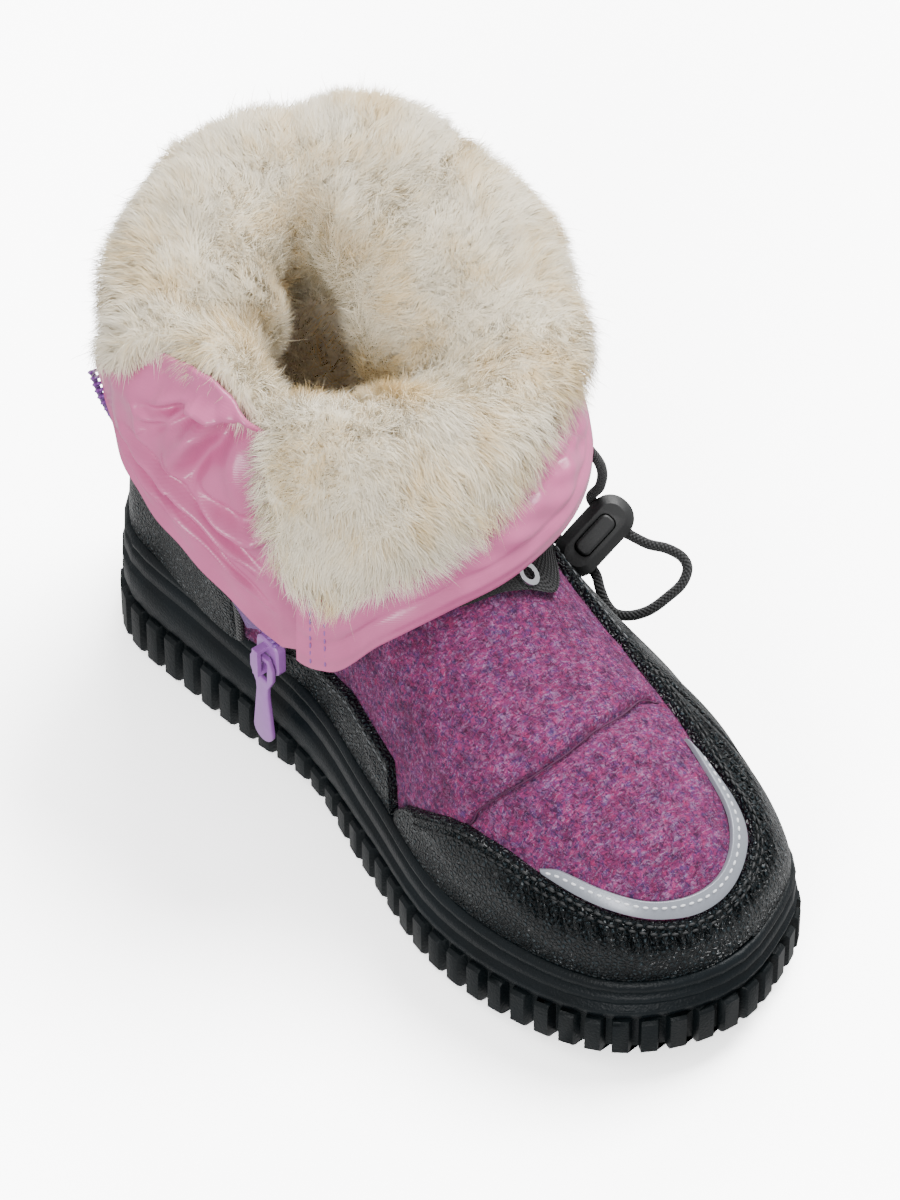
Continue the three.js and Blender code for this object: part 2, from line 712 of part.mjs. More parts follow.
function shaftGeometry() {
  const outer = [];
  const inner = [];
  for (let i = SHAFT_SPAN.from; i <= SHAFT_SPAN.to; i += 1) {
    const turn = (i * 360) / CUFF_TURNS;
    const path = nylonPath(turn);
    const stops = furStops(path, turn);
    const end = stops[CUFF_STEPS];
    const ts = [0, ...stops, lerp(end, 1, 0.4), lerp(end, 1, 0.75), 1];
    outer.push(ts.map((t) => besideNylon(path, turn, t, NYLON / 2)));
    inner.push(ts.map((t) => besideNylon(path, turn, t, -NYLON / 2)));
  }
  return sheet(inner, outer, false);
}

// Soft lumps of the pile: a few crossing waves, the same at every build.
function pile(turn, t) {
  const a = THREE.MathUtils.degToRad(turn);
  const broad = Math.sin(5 * a + 7 * t) + Math.sin(9 * a - 11 * t + 1);
  const fine = Math.sin(21 * a + 17 * t) * Math.cos(13 * a - 23 * t);
  return 0.7 * broad + 0.7 * fine;
}

// Depth of the fur at one place of the nylon's path.
function furDepth(turn, t) {
  const inside = read(CUFF_ROWS, 'turn', 'pile', turn, 360);
  return lerp(inside, FUR, ease((t - 0.1) / 0.3)) + pile(turn, t);
}

function furGrid() {
  const outer = [];
  const inner = [];
  for (let i = 0; i < CUFF_TURNS; i += 1) {
    const turn = (i * 360) / CUFF_TURNS;
    const path = nylonPath(turn);
    const ts = furStops(path, turn);
    outer.push(ts.map((t, j) => {
      const edge = Math.min(1, 0.45 + 0.55 * Math.sin(Math.PI * Math.min(1, (CUFF_STEPS - j) / 4) / 2));
      const start = j === 0 ? 0.7 : 1;
      return besideNylon(path, turn, t, NYLON / 2 + FIT + furDepth(turn, t) * edge * start);
    }));
    inner.push(ts.map((t) => besideNylon(path, turn, t, NYLON / 2 + FIT)));
  }
  return { outer, inner };
}

function furGeometry() {
  const grid = furGrid();
  let solid = toSolid(sheet(grid.inner, grid.outer, true));
  LOCK_RINGS.forEach((ring, k) => {
    for (let i = 0; i < LOCK_TURNS; i += 1) {
      const turn = ((i + (k % 2) / 2) * 360) / LOCK_TURNS;
      const path = nylonPath(turn);
      const clear = turn < FLAP_EDGE.from || turn > FLAP_EDGE.to;
      if (clear && ring < furEnd(path, turn) - 0.08) solid = solid.add(lockSolid(turn, ring));
    }
  });
  return fromSolid(solid);
}

function gussetGeometry() {
  const outer = [];
  const inner = [];
  const steps = 14;
  const levels = 7;
  for (let i = 0; i <= steps; i += 1) {
    const turn = lerp(GUSSET[0].turn, GUSSET[GUSSET.length - 1].turn, i / steps);
    const row = (column) => read(GUSSET, 'turn', column, turn);
    const line = [];
    for (let j = 0; j <= levels; j += 1) {
      const t = j / levels;
      const swell = 2.5 * Math.sin(Math.PI * t);
      line.push([lerp(row('foot'), row('head'), t) + swell, lerp(row('base'), row('top'), t)]);
    }
    outer.push(line.map(([r, z]) => onCuff(turn, r + NYLON / 2, z)));
    inner.push(line.map(([r, z]) => onCuff(turn, r - NYLON / 2, z)));
  }
  return sheet(outer, inner, false);
}

// Zip

// A loft of equal closed sections, with a flat end of the given plan at each side.
function loft(sections, plan) {
  const count = plan.length;
  const faces = [];
  for (let j = 0; j + 1 < sections.length; j += 1) {
    for (let i = 0; i < count; i += 1) {
      const a = j * count + i;
      const b = j * count + ((i + 1) % count);
      faces.push([a, b, b + count], [a, b + count, a + count]);
    }
  }
  const top = (sections.length - 1) * count;
  for (const [a, b, c] of THREE.ShapeUtils.triangulateShape(plan, [])) {
    faces.push([a, c, b], [top + a, top + b, top + c]);
  }
  return geometryOf(sections.flat(), faces);
}

// Half of the zip: a tape with its row of teeth. side: +1 has the tape toward the toe
const ZIP_REAR = [
  { x: 81, y: -34.2, z: 48.4 },
  { x: 80.3, y: -36.5, z: 56 },
  { x: 77, y: -39.5, z: 65 },
  { x: 69, y: -42, z: 75 },
  { x: 59, y: -44, z: 84 },
  { x: 48.5, y: -45.5, z: 92 },
  { x: 39, y: -46, z: 99 },
  { x: 34.5, y: -45, z: 102.5 },
];
const ZIP_FRONT = [
  { x: 87.2, y: -34.2, z: 48.4 },
  { x: 86, y: -36.5, z: 57 },
  { x: 87, y: -38.5, z: 66 },
  { x: 91, y: -38, z: 74 },
];

function zipGeometry(rows, side) {
  const curve = new THREE.CatmullRomCurve3(rows.map((row) => new THREE.Vector3(row.x, row.y, row.z)));
  const length = curve.getLength();
  const stops = [];
  for (let i = 0; i < ZIP.teeth; i += 1) {
    for (const [part, tall] of [[0, 1], [0.5, 1], [0.55, 0], [0.95, 0]]) {
      stops.push({ at: (i + part) * ZIP.pitch, tall });
    }
  }
  const first = ZIP.teeth * ZIP.pitch;
  const plain = Math.ceil((length - first) / 9);
  for (let i = 0; i <= plain; i += 1) {
    stops.push({ at: lerp(first, length, i / plain), tall: 0.4 });
  }
  const sections = stops.map(({ at, tall }) => {
    const u = Math.min(1, at / length);
    const p = curve.getPointAt(u);
    const tangent = curve.getTangentAt(u);
    const normal = new THREE.Vector3(p.x - CUFF.x, p.y - CUFF.y, 0).normalize();
    const width = new THREE.Vector3().crossVectors(tangent, normal).normalize().multiplyScalar(side);
    normal.crossVectors(width, tangent).normalize().multiplyScalar(side);
    const half = ZIP.tape / 2;
    const bead = lerp(half + 0.25, ZIP.thick / 2, tall);
    const edge = lerp(ZIP.tooth * 0.55, ZIP.tooth, tall);
    const plan = [[ZIP.width, -half], [ZIP.width, half], [0, half], [0, bead], [-edge, bead],
      [-edge, -bead], [0, -bead], [0, -half]];
    const ring = plan.map(([w, n]) => (
      p.clone().addScaledVector(width, w).addScaledVector(normal, n)
    ));
    return side < 0 ? ring : ring.reverse();
  });
  const plan = [[ZIP.width, -0.5], [ZIP.width, 0.5], [0, 0.5], [0, 1], [-2, 1], [-2, -1], [0, -1], [0, -0.5]]
    .map(([a, b]) => new THREE.Vector2(a, b));
  return loft(sections, side < 0 ? plan : plan.map((q) => new THREE.Vector2(-q.x, q.y)).reverse());
}

const OUT = new THREE.Vector3(0, -1, 0);
const UP = new THREE.Vector3(0, 0, 1);
const FORE = new THREE.Vector3(1, 0, 0);

function block(width, depth, height, x, y, z) {
  const geometry = new THREE.BoxGeometry(width, depth, height);
  geometry.translate(x - HEEL_SEAT, y, z);
  return geometry;
}

// The slider has an arch over its face, and the pull's crossbar lies under the arch.
const PIVOT = {
  x: SLIDER.x,
  y: SLIDER.y - SLIDER.depth / 2 - PULL.play - PULL.thick / 2,
  z: SLIDER.z + 0.8,
};

function sliderGeometry() {
  const centre = new THREE.Vector3(SLIDER.x, SLIDER.y, SLIDER.z);
  const face = SLIDER.y - SLIDER.depth / 2;
  const under = PIVOT.y - PULL.thick / 2 - PULL.play;
  const bar = 1.2;
  const span = 8.2;
  const body = toSolid(plate(rounded(SLIDER.width, SLIDER.height, 2.2), SLIDER.depth, centre, FORE, UP, 0.5, 3));
  const arch = toSolid(block(2, bar, span, SLIDER.x, under - bar / 2, SLIDER.z));
  const reachOut = face - under + bar + 0.4;
  const middle = under - bar + reachOut / 2;
  const high = toSolid(block(2, reachOut, bar, SLIDER.x, middle, SLIDER.z + (span - bar) / 2));
  const low = toSolid(block(2, reachOut, bar, SLIDER.x, middle, SLIDER.z - (span - bar) / 2));
  return fromSolid(body.add(arch).add(high).add(low));
}

// Plan of the pull, its own Y up and its crossbar at zero.
function pullGeometry() {
  const half = PULL.thick / 2;
  const tip = -PULL.drop;
  const shape = new THREE.Shape();
  shape.moveTo(-2.6, half);
  shape.lineTo(-4.1, -2.2);
  shape.lineTo(-4.1, -5.6);
  shape.lineTo(-2.2, -9.4);
  shape.lineTo(-2.0, -12);
  shape.lineTo(-3.4, tip + 3.4);
  shape.absarc(0, tip + 3.4, 3.4, Math.PI, Math.PI * 2, false);
  shape.lineTo(2.0, -12);
  shape.lineTo(2.2, -9.4);
  shape.lineTo(4.1, -5.6);
  shape.lineTo(4.1, -2.2);
  shape.lineTo(2.6, half);
  shape.closePath();
  const hole = new THREE.Path();
  hole.moveTo(-2.1, -half);
  hole.lineTo(2.1, -half);
  hole.lineTo(2.1, -6.9);
  hole.lineTo(-2.1, -6.9);
  hole.closePath();
  shape.holes.push(hole);
  const centre = new THREE.Vector3(PIVOT.x, PIVOT.y, PIVOT.z);
  return plate(shape, PULL.thick, centre, FORE, UP, 0, 5);
}

// Drawcord

// The toggle lies across the boot's side: its length, its width and its face.
const TOGGLE_ALONG = new THREE.Vector3(0, 0.88, 0.47).normalize();
const TOGGLE_FACE = new THREE.Vector3(0.55, -0.38, 0.74)
  .projectOnPlane(TOGGLE_ALONG).normalize();
const TOGGLE_UP = new THREE.Vector3().crossVectors(TOGGLE_FACE, TOGGLE_ALONG);

function onToggle(along, up, face) {
  return new THREE.Vector3(TOGGLE.x, TOGGLE.y, TOGGLE.z)
    .addScaledVector(TOGGLE_ALONG, along)
    .addScaledVector(TOGGLE_UP, up)
    .addScaledVector(TOGGLE_FACE, face);
}

function toggleGeometry() {
  const plan = rounded(TOGGLE.length, TOGGLE.width, TOGGLE.width / 2 - 0.3);
  let solid = toSolid(plate(plan, TOGGLE.depth, onToggle(0, 0, 0), TOGGLE_ALONG, TOGGLE_UP, 2.2, 5));
  const bore = new THREE.Shape();
  bore.absarc(0, 0, CORD / 2 + 2 * FIT, 0, Math.PI * 2, false);
  for (const side of [-1, 1]) {
    const centre = onToggle(side * TOGGLE.holes, 0, -1.6);
    const hole = plate(bore, TOGGLE.width + 4, centre, TOGGLE_ALONG, TOGGLE_FACE, 0, 8);
    solid = solid.subtract(toSolid(hole));
  }
  const recess = BUTTON.depth - BUTTON.proud + BUTTON.travel + FIT;
  const pocket = plate(rounded(BUTTON.length + 2 * FIT, BUTTON.width + 2 * FIT, 1.8), recess + 2,
    onToggle(0, 0, TOGGLE.depth / 2 + 1 - recess / 2), TOGGLE_ALONG, TOGGLE_UP, 0, 4);
  return fromSolid(solid.subtract(toSolid(pocket)));
}

function buttonGeometry() {
  const centre = onToggle(0, 0, TOGGLE.depth / 2 + BUTTON.proud - BUTTON.depth / 2);
  return plate(rounded(BUTTON.length, BUTTON.width, 1.6), BUTTON.depth, centre,
    TOGGLE_ALONG, TOGGLE_UP, 0.4, 4);
}

// Elastic cord: out of the hem, through the toggle, round its loop and back behind it.
const CORD_POINTS = [
  { x: 114.3, y: 38.8, z: 87 },
  { x: 112, y: 41, z: 79 },
  { x: 109, y: 45, z: 70 },
  { x: 105, y: 47.3, z: 61 },
  { x: 100.5, y: 47.6, z: 54.5 },
  { x: 109.5, y: 50.4, z: 48 },
  { x: 116.1, y: 52.8, z: 47 },
  { x: 120, y: 55.6, z: 46.6 },
  { x: 123.5, y: 57.2, z: 45.4 },
  { x: 125.6, y: 57, z: 43.8 },
  { x: 126.9, y: 54.4, z: 41.4 },
  { x: 126.5, y: 50.2, z: 39.1 },
  { x: 125.3, y: 45.2, z: 36.8 },
  { x: 122.9, y: 41.2, z: 35.9 },
  { x: 120.4, y: 39.2, z: 36.1 },
  { x: 117.7, y: 38.7, z: 37.8 },
  { x: 115.4, y: 39, z: 40 },
  { x: 100.5, y: 37, z: 49.6 },
  { x: 101.5, y: 38.5, z: 60 },
  { x: 105.5, y: 41.6, z: 72 },
  { x: 108.5, y: 42.6, z: 82 },
  { x: 109.5, y: 42.8, z: 88 },
];

// The cord's straight runs in the toggle are set on the axes of its holes.
function cordCurve() {
  const points = CORD_POINTS.map((row) => new THREE.Vector3(row.x, row.y, row.z));
  const reachOut = TOGGLE.width / 2 + 0.6;
  points.splice(17, 1, onToggle(-TOGGLE.holes, -reachOut, -1.6), onToggle(-TOGGLE.holes, 0, -1.6),
    onToggle(-TOGGLE.holes, reachOut, -1.6));
  points.splice(4, 1, onToggle(TOGGLE.holes, reachOut, -1.6), onToggle(TOGGLE.holes, 0, -1.6),
    onToggle(TOGGLE.holes, -reachOut, -1.6));
  return new THREE.CatmullRomCurve3(points.map((p) => new THREE.Vector3(p.x - HEEL_SEAT, p.y, p.z)));
}

function cordGeometry() {
  const round = new THREE.Shape();
  round.absarc(0, 0, CORD / 2, 0, Math.PI * 2, false);
  return new THREE.ExtrudeGeometry(round, {
    steps: 56,
    curveSegments: 4,
    bevelEnabled: false,
    extrudePath: cordCurve(),
  });
}

// Locks of the pile: small bent wedges fused to the fur, in rings that cross the fold.
const FLAP_EDGE = { from: 290, to: 325 };   // free edge of the front flap, without locks
const LOCK_TURNS = 13;
const LOCK_RINGS = [0.34, 0.48, 0.62];
const LOCK = { length: 5.2, width: 8, thick: 4, sink: 3 };

function lockSolid(turn, t) {
  const path = nylonPath(turn);
  const off = NYLON / 2 + FIT + furDepth(turn, t);
  const p = besideNylon(path, turn, t, off - LOCK.sink);
  const out = besideNylon(path, turn, t, off).sub(p).normalize();
  const on = besideNylon(path, turn, Math.min(1, t + 0.03), off - LOCK.sink).sub(p).normalize();
  const across = new THREE.Vector3().crossVectors(on, out).normalize();
  const lean = out.clone().multiplyScalar(0.75).addScaledVector(on, 0.65).normalize();
  const ring = (at, scale) => [[-1, -1], [1, -1], [1, 1], [-1, 1]].map(([a, b]) => (
    p.clone().addScaledVector(lean, at)
      .addScaledVector(across, (a * LOCK.width * scale) / 2)
      .addScaledVector(on, (b * LOCK.thick * scale) / 2)
  ));
  const plan = [[-1, -1], [1, -1], [1, 1], [-1, 1]].map(([a, b]) => new THREE.Vector2(a, b));
  return toSolid(loft([ring(0, 1), ring(LOCK.sink, 0.9), ring(LOCK.length, 0.3)], plan));
}

// Group

const group = new THREE.Group();
group.name = 'snow_boot';

function add(name, geometry, color, roughness, metalness = 0) {
  const material = new THREE.MeshStandardMaterial({ color, roughness, metalness });
  const mesh = new THREE.Mesh(geometry, material);
  mesh.name = name;
  group.add(mesh);
}

add('outsole', outsoleGeometry(), '#25282a', 0.75);
add('midsole', midsoleGeometry(), '#2b2e30', 0.7);
add('insole', insoleGeometry(), '#e3dcc9', 0.95);
add('upper', upperGeometry(), '#9a4a94', 0.95);
add('mudguard', spanPanel(GUARD, GUARD_SPAN, LEATHER), '#2b2e30', 0.6);
add('heel_counter', spanPanel(COUNTER, COUNTER_SPAN, LEATHER), '#2b2e30', 0.6);
add('quarter_medial', spanPanel(MEDIAL, MEDIAL_SPAN, LEATHER), '#2b2e30', 0.6);
add('quarter_lateral', spanPanel(LATERAL, LATERAL_SPAN, LEATHER), '#2b2e30', 0.6);
add('reflective_strip', spanPanel(STRIP, STRIP_SPAN, 0.9), '#a9abb5', 0.35);
add('ankle_webbing', spanPanel(BAND, BAND_SPAN, BAND_THICK, BAND_LIFT), '#232426', 0.8);
add('eyelet', eyeletGeometry(), '#c9ccd0', 0.25, 1);
add('shaft', shaftGeometry(), '#c882a5', 0.45);
add('gusset', gussetGeometry(), '#c882a5', 0.45);
add('fur_lining', furGeometry(), '#e3dcc9', 0.95);
add('zip_rear', zipGeometry(ZIP_REAR, -1), '#a46bb8', 0.5);
add('zip_front', zipGeometry(ZIP_FRONT, 1), '#a46bb8', 0.5);
add('zip_slider', sliderGeometry(), '#b98ac9', 0.4);
add('zip_pull', pullGeometry(), '#be8fcb', 0.45);
add('toggle_body', toggleGeometry(), '#232425', 0.5);
add('toggle_button', buttonGeometry(), '#232425', 0.5);
add('drawcord', cordGeometry(), '#2c2c2c', 0.85);

export default group;
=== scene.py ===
"""Child's left snow boot: moulded rubber sole, wool felt upper with coated leather panels,
nylon shaft turned down over the ankle, and a long acrylic pile lining."""

import json
import math

import bmesh
import bpy
import numpy as np
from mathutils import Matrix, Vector, kdtree, noise

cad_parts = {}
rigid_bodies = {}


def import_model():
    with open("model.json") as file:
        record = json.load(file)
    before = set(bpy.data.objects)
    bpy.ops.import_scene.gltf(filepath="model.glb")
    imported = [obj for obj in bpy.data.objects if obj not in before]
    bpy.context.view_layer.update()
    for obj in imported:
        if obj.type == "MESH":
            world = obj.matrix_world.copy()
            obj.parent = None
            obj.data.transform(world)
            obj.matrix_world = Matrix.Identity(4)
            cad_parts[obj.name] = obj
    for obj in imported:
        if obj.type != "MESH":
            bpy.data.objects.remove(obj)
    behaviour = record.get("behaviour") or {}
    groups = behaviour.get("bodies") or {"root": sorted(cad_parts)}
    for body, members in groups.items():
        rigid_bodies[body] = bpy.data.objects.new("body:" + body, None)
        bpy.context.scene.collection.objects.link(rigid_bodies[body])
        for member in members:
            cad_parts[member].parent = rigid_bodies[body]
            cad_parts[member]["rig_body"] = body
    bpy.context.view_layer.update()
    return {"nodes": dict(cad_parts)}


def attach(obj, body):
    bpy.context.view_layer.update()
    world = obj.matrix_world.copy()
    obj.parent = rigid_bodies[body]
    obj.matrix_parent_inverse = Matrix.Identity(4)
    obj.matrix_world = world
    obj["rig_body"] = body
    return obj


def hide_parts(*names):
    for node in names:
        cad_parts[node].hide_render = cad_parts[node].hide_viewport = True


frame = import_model()
rng = np.random.default_rng(31)
noise.seed_set(31)

# Sizes of the boot in millimetres, from the back of the heel; X to the toe, Y lateral, Z up.
LENGTH, BALL_WIDTH, HEEL_SEAT = 216.0, 85.0, 45.0
RIM_INSET, FELT, SEAT, LEATHER = 5.0, 3.0, 0.5, 1.6
ANKLE_X, ANKLE_Y, ANKLE_FRONT, ANKLE_SIDE, ANKLE_RISE = 60.0, -3.0, 44.0, 35.0, 50.0
UPPER_TOP, SEAM_HEIGHT = 54.0, 37.0
CUFF_X, CUFF_FOOT, NYLON, FUR = 62.0, 91.0, 1.4, 9.0
CORD, BAND_THICK, BAND_LIFT = 2.5, 1.2, 0.9


def table(columns, rows):
    return dict(zip(columns.split(), np.array(rows, float).T))


OUTLINE = table("along across", [
    (0.001, 0.0), (0.037, -0.2), (0.108, -0.38), (0.248, -0.39), (0.421, -0.365),
    (0.558, -0.435), (0.7, -0.51), (0.819, -0.485), (0.933, -0.38), (0.985, -0.22),
    (1.0, -0.05), (0.98, 0.12), (0.935, 0.3), (0.829, 0.42), (0.698, 0.475),
    (0.55, 0.45), (0.4, 0.4), (0.25, 0.4), (0.119, 0.37), (0.028, 0.24)])
SOLE = table("along ribs step rim", [
    (0.0, 14, 26, 35), (0.06, 14, 26, 35), (0.25, 13.5, 25, 34), (0.34, 12, 22.5, 31.8),
    (0.44, 9.5, 20, 29.2), (0.54, 10.5, 18, 27), (0.7, 11, 16.5, 24.6),
    (0.85, 13, 18, 25.4), (0.94, 16.2, 21, 28), (1.0, 19, 23.5, 30.5)])
RIDGE = table("along height shift", [
    (0.0, 150, 0), (0.4, 120, 0.1), (0.486, 68, 0.2), (0.532, 57, 0.25), (0.579, 50.5, 0.27),
    (0.648, 44.5, 0.26), (0.741, 38.5, 0.18), (0.833, 32, 0.08), (0.9, 25, 0.03),
    (0.945, 15.5, 0), (0.965, 7, 0), (0.977, 0, 0)])
SEAM_LINE = table("share height", [
    (0, 30), (0.25, 22), (0.34, 18.5), (0.373, 25.7), (0.409, 30.8), (0.438, 34.1),
    (0.458, 36.1), (0.476, 37.1), (0.494, 37.4), (0.515, 36.2), (0.542, 33.3), (0.58, 28), (0.7, 28), (1, 30)])
CUFF = table("turn wall fold top skirt hem fur pile", [
    (0, 37, 43, 118, 66, 80.5, 92, 11), (15, 37, 45, 113, 66, 82.5, 94, 14),
    (30, 37, 46, 110, 64, 83, 93, 17), (60, 37, 46, 112, 58, 82, 91, 18),
    (90, 38, 47, 123, 58, 82, 92, 15), (135, 38, 45, 137, 58, 84, 98, 13),
    (180, 35, 41, 134, 56, 86, 100, 14), (225, 32, 37, 127, 49, 92, 106, 18),
    (240, 32, 37, 125, 47, 97, 110, 18), (255, 32, 37, 126, 43, 106, 116, 16),
    (272, 32, 36, 127, 41, 110, 119, 14), (291, 33, 37, 123, 42, 106, 116, 12),
    (303, 34, 39, 121, 46, 100, 110, 11), (312, 36, 41, 123, 59, 68, 85, 10),
    (322, 37, 42, 124, 63, 63, 79, 10), (332, 37, 43, 124, 65, 72.5, 85, 10),
    (345, 37, 43, 122, 66, 79, 89, 10)])
GUSSET = table("turn base foot top head", [
    (240, 103, 50, 109.8, 47), (250, 98, 50, 114.8, 43.5), (262, 91, 50.5, 116.8, 41),
    (275, 85, 50.5, 117.8, 40), (288, 78, 50.5, 115.8, 40), (300, 68.5, 50.5, 110.8, 42),
    (310, 60, 51, 102.8, 44)])
GUARD = table("share low high", [
    (0.29, 0.35, 3.5), (0.3, 0.35, 9), (0.321, 0.35, 15), (0.349, 0.35, 21),
    (0.378, 0.35, 22.3), (0.406, 0.35, 20.3), (0.439, 0.35, 16.8), (0.465, 0.35, 13.8),
    (0.49, 0.35, 12.4), (0.511, 0.35, 13.7), (0.531, 0.35, 16.4), (0.544, 0.35, 20.3),
    (0.552, 0.35, 25.5), (0.566, 0.35, 27.5), (0.586, 0.35, 29.5), (0.6, 0.35, 30)])
COUNTER = table("share low high", [
    (-0.165, 0.35, 33), (-0.1, 0.35, 44), (0.0, 0.35, 50), (0.06, 0.35, 50),
    (0.12, 0.35, 44), (0.168, 0.35, 26)])
MEDIAL = table("share low high", [
    (0.186, 0.35, 8.5), (0.196, 0.35, 9.5), (0.228, 0.35, 13.5), (0.247, 0.35, 16),
    (0.287, 0.35, 15)])
LATERAL = table("share low high", [
    (0.603, 0.35, 31), (0.64, 0.35, 34), (0.7, 0.35, 35), (0.832, 0.35, 33)])
STRIP = table("share low high", [
    (0.404, 20.9, 21.5), (0.417, 19.6, 22.4), (0.439, 17.3, 20.8), (0.465, 14.3, 17.8),
    (0.49, 12.9, 16.6), (0.511, 14.2, 18), (0.531, 17.8, 22.4), (0.542, 22, 26.4),
    (0.549, 26.6, 28.4)])
BAND = table("share low high", [
    (0.4, 50, 53), (0.458, 50, 53.4), (0.495, 49.2, 53.4), (0.52, 46.5, 53.2), (0.551, 41.4, 50.5),
    (0.62, 37.5, 47)])


def ease(t):
    s = np.clip(t, 0, 1)
    return s * s * (3 - 2 * s)


def lerp(a, b, t):
    return a + (b - a) * t


def read(rows, column, at, period=0):
    """Smooth reading of one column of a table by its first column."""
    keys, values = rows[next(iter(rows))], rows[column]
    at = np.asarray(at, float)
    if period:
        at = np.mod(at, period)
        keys = np.concatenate([keys[-2:] - period, keys, keys[:3] + period])
        values = np.concatenate([values[-2:], values, values[:3]])
    k = np.concatenate([keys[:1], keys, keys[-1:]])
    v = np.concatenate([values[:1], values, values[-1:]])
    slope = (v[2:] - v[:-2]) / (k[2:] - k[:-2])
    i = np.clip(np.searchsorted(keys, at, "right") - 1, 0, len(keys) - 2)
    span = keys[i + 1] - keys[i]
    t = np.clip((at - keys[i]) / span, 0, 1)
    a, b = values[i], values[i + 1]
    rise = (b - a) / span

    def limited(m):
        held = np.sign(m) * np.minimum(np.abs(m), 3 * np.abs(rise))
        return np.where((rise == 0) | (m * rise < 0), 0, held)

    m0, m1 = limited(slope[i]) * span, limited(slope[i + 1]) * span
    return (a * (2 * t**3 - 3 * t**2 + 1) + m0 * (t**3 - 2 * t**2 + t)
            + b * (3 * t**2 - 2 * t**3) + m1 * (t**3 - t**2))


def spline(points, t, closed=False):
    """Centripetal curve through points (n, d), read at t from 0 to 1."""
    p = np.asarray(points, float)
    n = len(p)
    if closed:
        ext = np.concatenate([p[-1:], p, p[:2]])
        place = np.mod(t, 1) * n
        i = np.minimum(np.floor(place).astype(int), n - 1)
    else:
        ext = np.concatenate([2 * p[:1] - p[1:2], p, 2 * p[-1:] - p[-2:-1]])
        place = np.clip(t, 0, 1) * (n - 1)
        i = np.minimum(np.floor(place).astype(int), n - 2)
    w = (place - i)[..., None]
    p0, p1, p2, p3 = (ext[i + j] for j in range(4))
    d0, d1, d2 = (np.sqrt(np.linalg.norm(b - a, axis=-1, keepdims=True))
                  for a, b in ((p0, p1), (p1, p2), (p2, p3)))
    m1 = ((p1 - p0) / d0 - (p2 - p0) / (d0 + d1) + (p2 - p1) / d1) * d1
    m2 = ((p2 - p1) / d1 - (p3 - p1) / (d1 + d2) + (p3 - p2) / d2) * d1
    return (p1 * (2 * w**3 - 3 * w**2 + 1) + m1 * (w**3 - 2 * w**2 + w)
            + p2 * (3 * w**2 - 2 * w**3) + m2 * (w**3 - w**2))


def unit(v):
    return v / np.maximum(np.linalg.norm(v, axis=-1, keepdims=True), 1e-9)


def even_path(points, pitch=None, count=None):
    """Points along a polyline at equal steps."""
    run = np.concatenate([[0], np.cumsum(np.linalg.norm(np.diff(points, axis=0), axis=1))])
    count = count or max(2, int(round(run[-1] / pitch)) + 1)
    at = np.linspace(0, run[-1], count)
    return np.stack([np.interp(at, run, points[:, k]) for k in range(points.shape[1])], -1)


# The last: the foot's skin over the rim of the sole, by share of the rim and height.

outline_rows = np.stack([OUTLINE["along"] * LENGTH, OUTLINE["across"] * BALL_WIDTH], -1)
outline_t = np.linspace(0, 1, 1201)
outline_run = np.concatenate([[0], np.cumsum(np.linalg.norm(np.diff(
    spline(outline_rows, outline_t, closed=True), axis=0), axis=1))])


def outline_at(share, inset):
    u = np.mod(share, 1)
    t = np.interp(u * outline_run[-1], outline_run, outline_t)
    p = spline(outline_rows, t, closed=True)
    d = unit(spline(outline_rows, t + 1e-4, closed=True)
             - spline(outline_rows, t - 1e-4, closed=True))
    inset = np.broadcast_to(inset, np.shape(u))
    return np.stack([p[..., 0] - d[..., 1] * inset, p[..., 1] + d[..., 0] * inset], -1)


def sole(x, column):
    return read(SOLE, column, np.asarray(x) / LENGTH)


feather = outline_at(np.arange(240) / 240, RIM_INSET)


def side_table(lateral):
    found = np.zeros(217)
    a, b = feather, np.roll(feather, -1, axis=0)
    for x in range(217):
        on = (a[:, 1] > 0) | (b[:, 1] > 0) if lateral else (a[:, 1] < 0) | (b[:, 1] < 0)
        hit = on & ((a[:, 0] - x) * (b[:, 0] - x) <= 0) & (a[:, 0] != b[:, 0])
        if hit.any():
            y = lerp(a[hit, 1], b[hit, 1], (x - a[hit, 0]) / (b[hit, 0] - a[hit, 0]))
            found[x] = y[np.argmax(np.abs(y))]
    return found


side_out, side_in = side_table(True), side_table(False)


def crown(x, y):
    i = np.clip(np.floor(x).astype(int), 0, 215)
    out = lerp(side_out[i], side_out[i + 1], x - i)
    into = lerp(side_in[i], side_in[i + 1], x - i)
    ridge = (out + into) / 2 - (out - into) / 2 * read(RIDGE, "shift", x / LENGTH)
    over = y > ridge
    with np.errstate(divide="ignore", invalid="ignore"):
        side = np.where(over, (y - ridge) / (out - ridge), (ridge - y) / (ridge - into))
    full = np.where(over, 1.85, 2.5)
    inside = (x > feather[0, 0]) & (x < 211.4) & (side < 1)
    bow = (1 - np.clip(side, 0, 1) ** full) ** (1 / full)
    return np.where(inside, read(RIDGE, "height", x / LENGTH) * bow, -1)


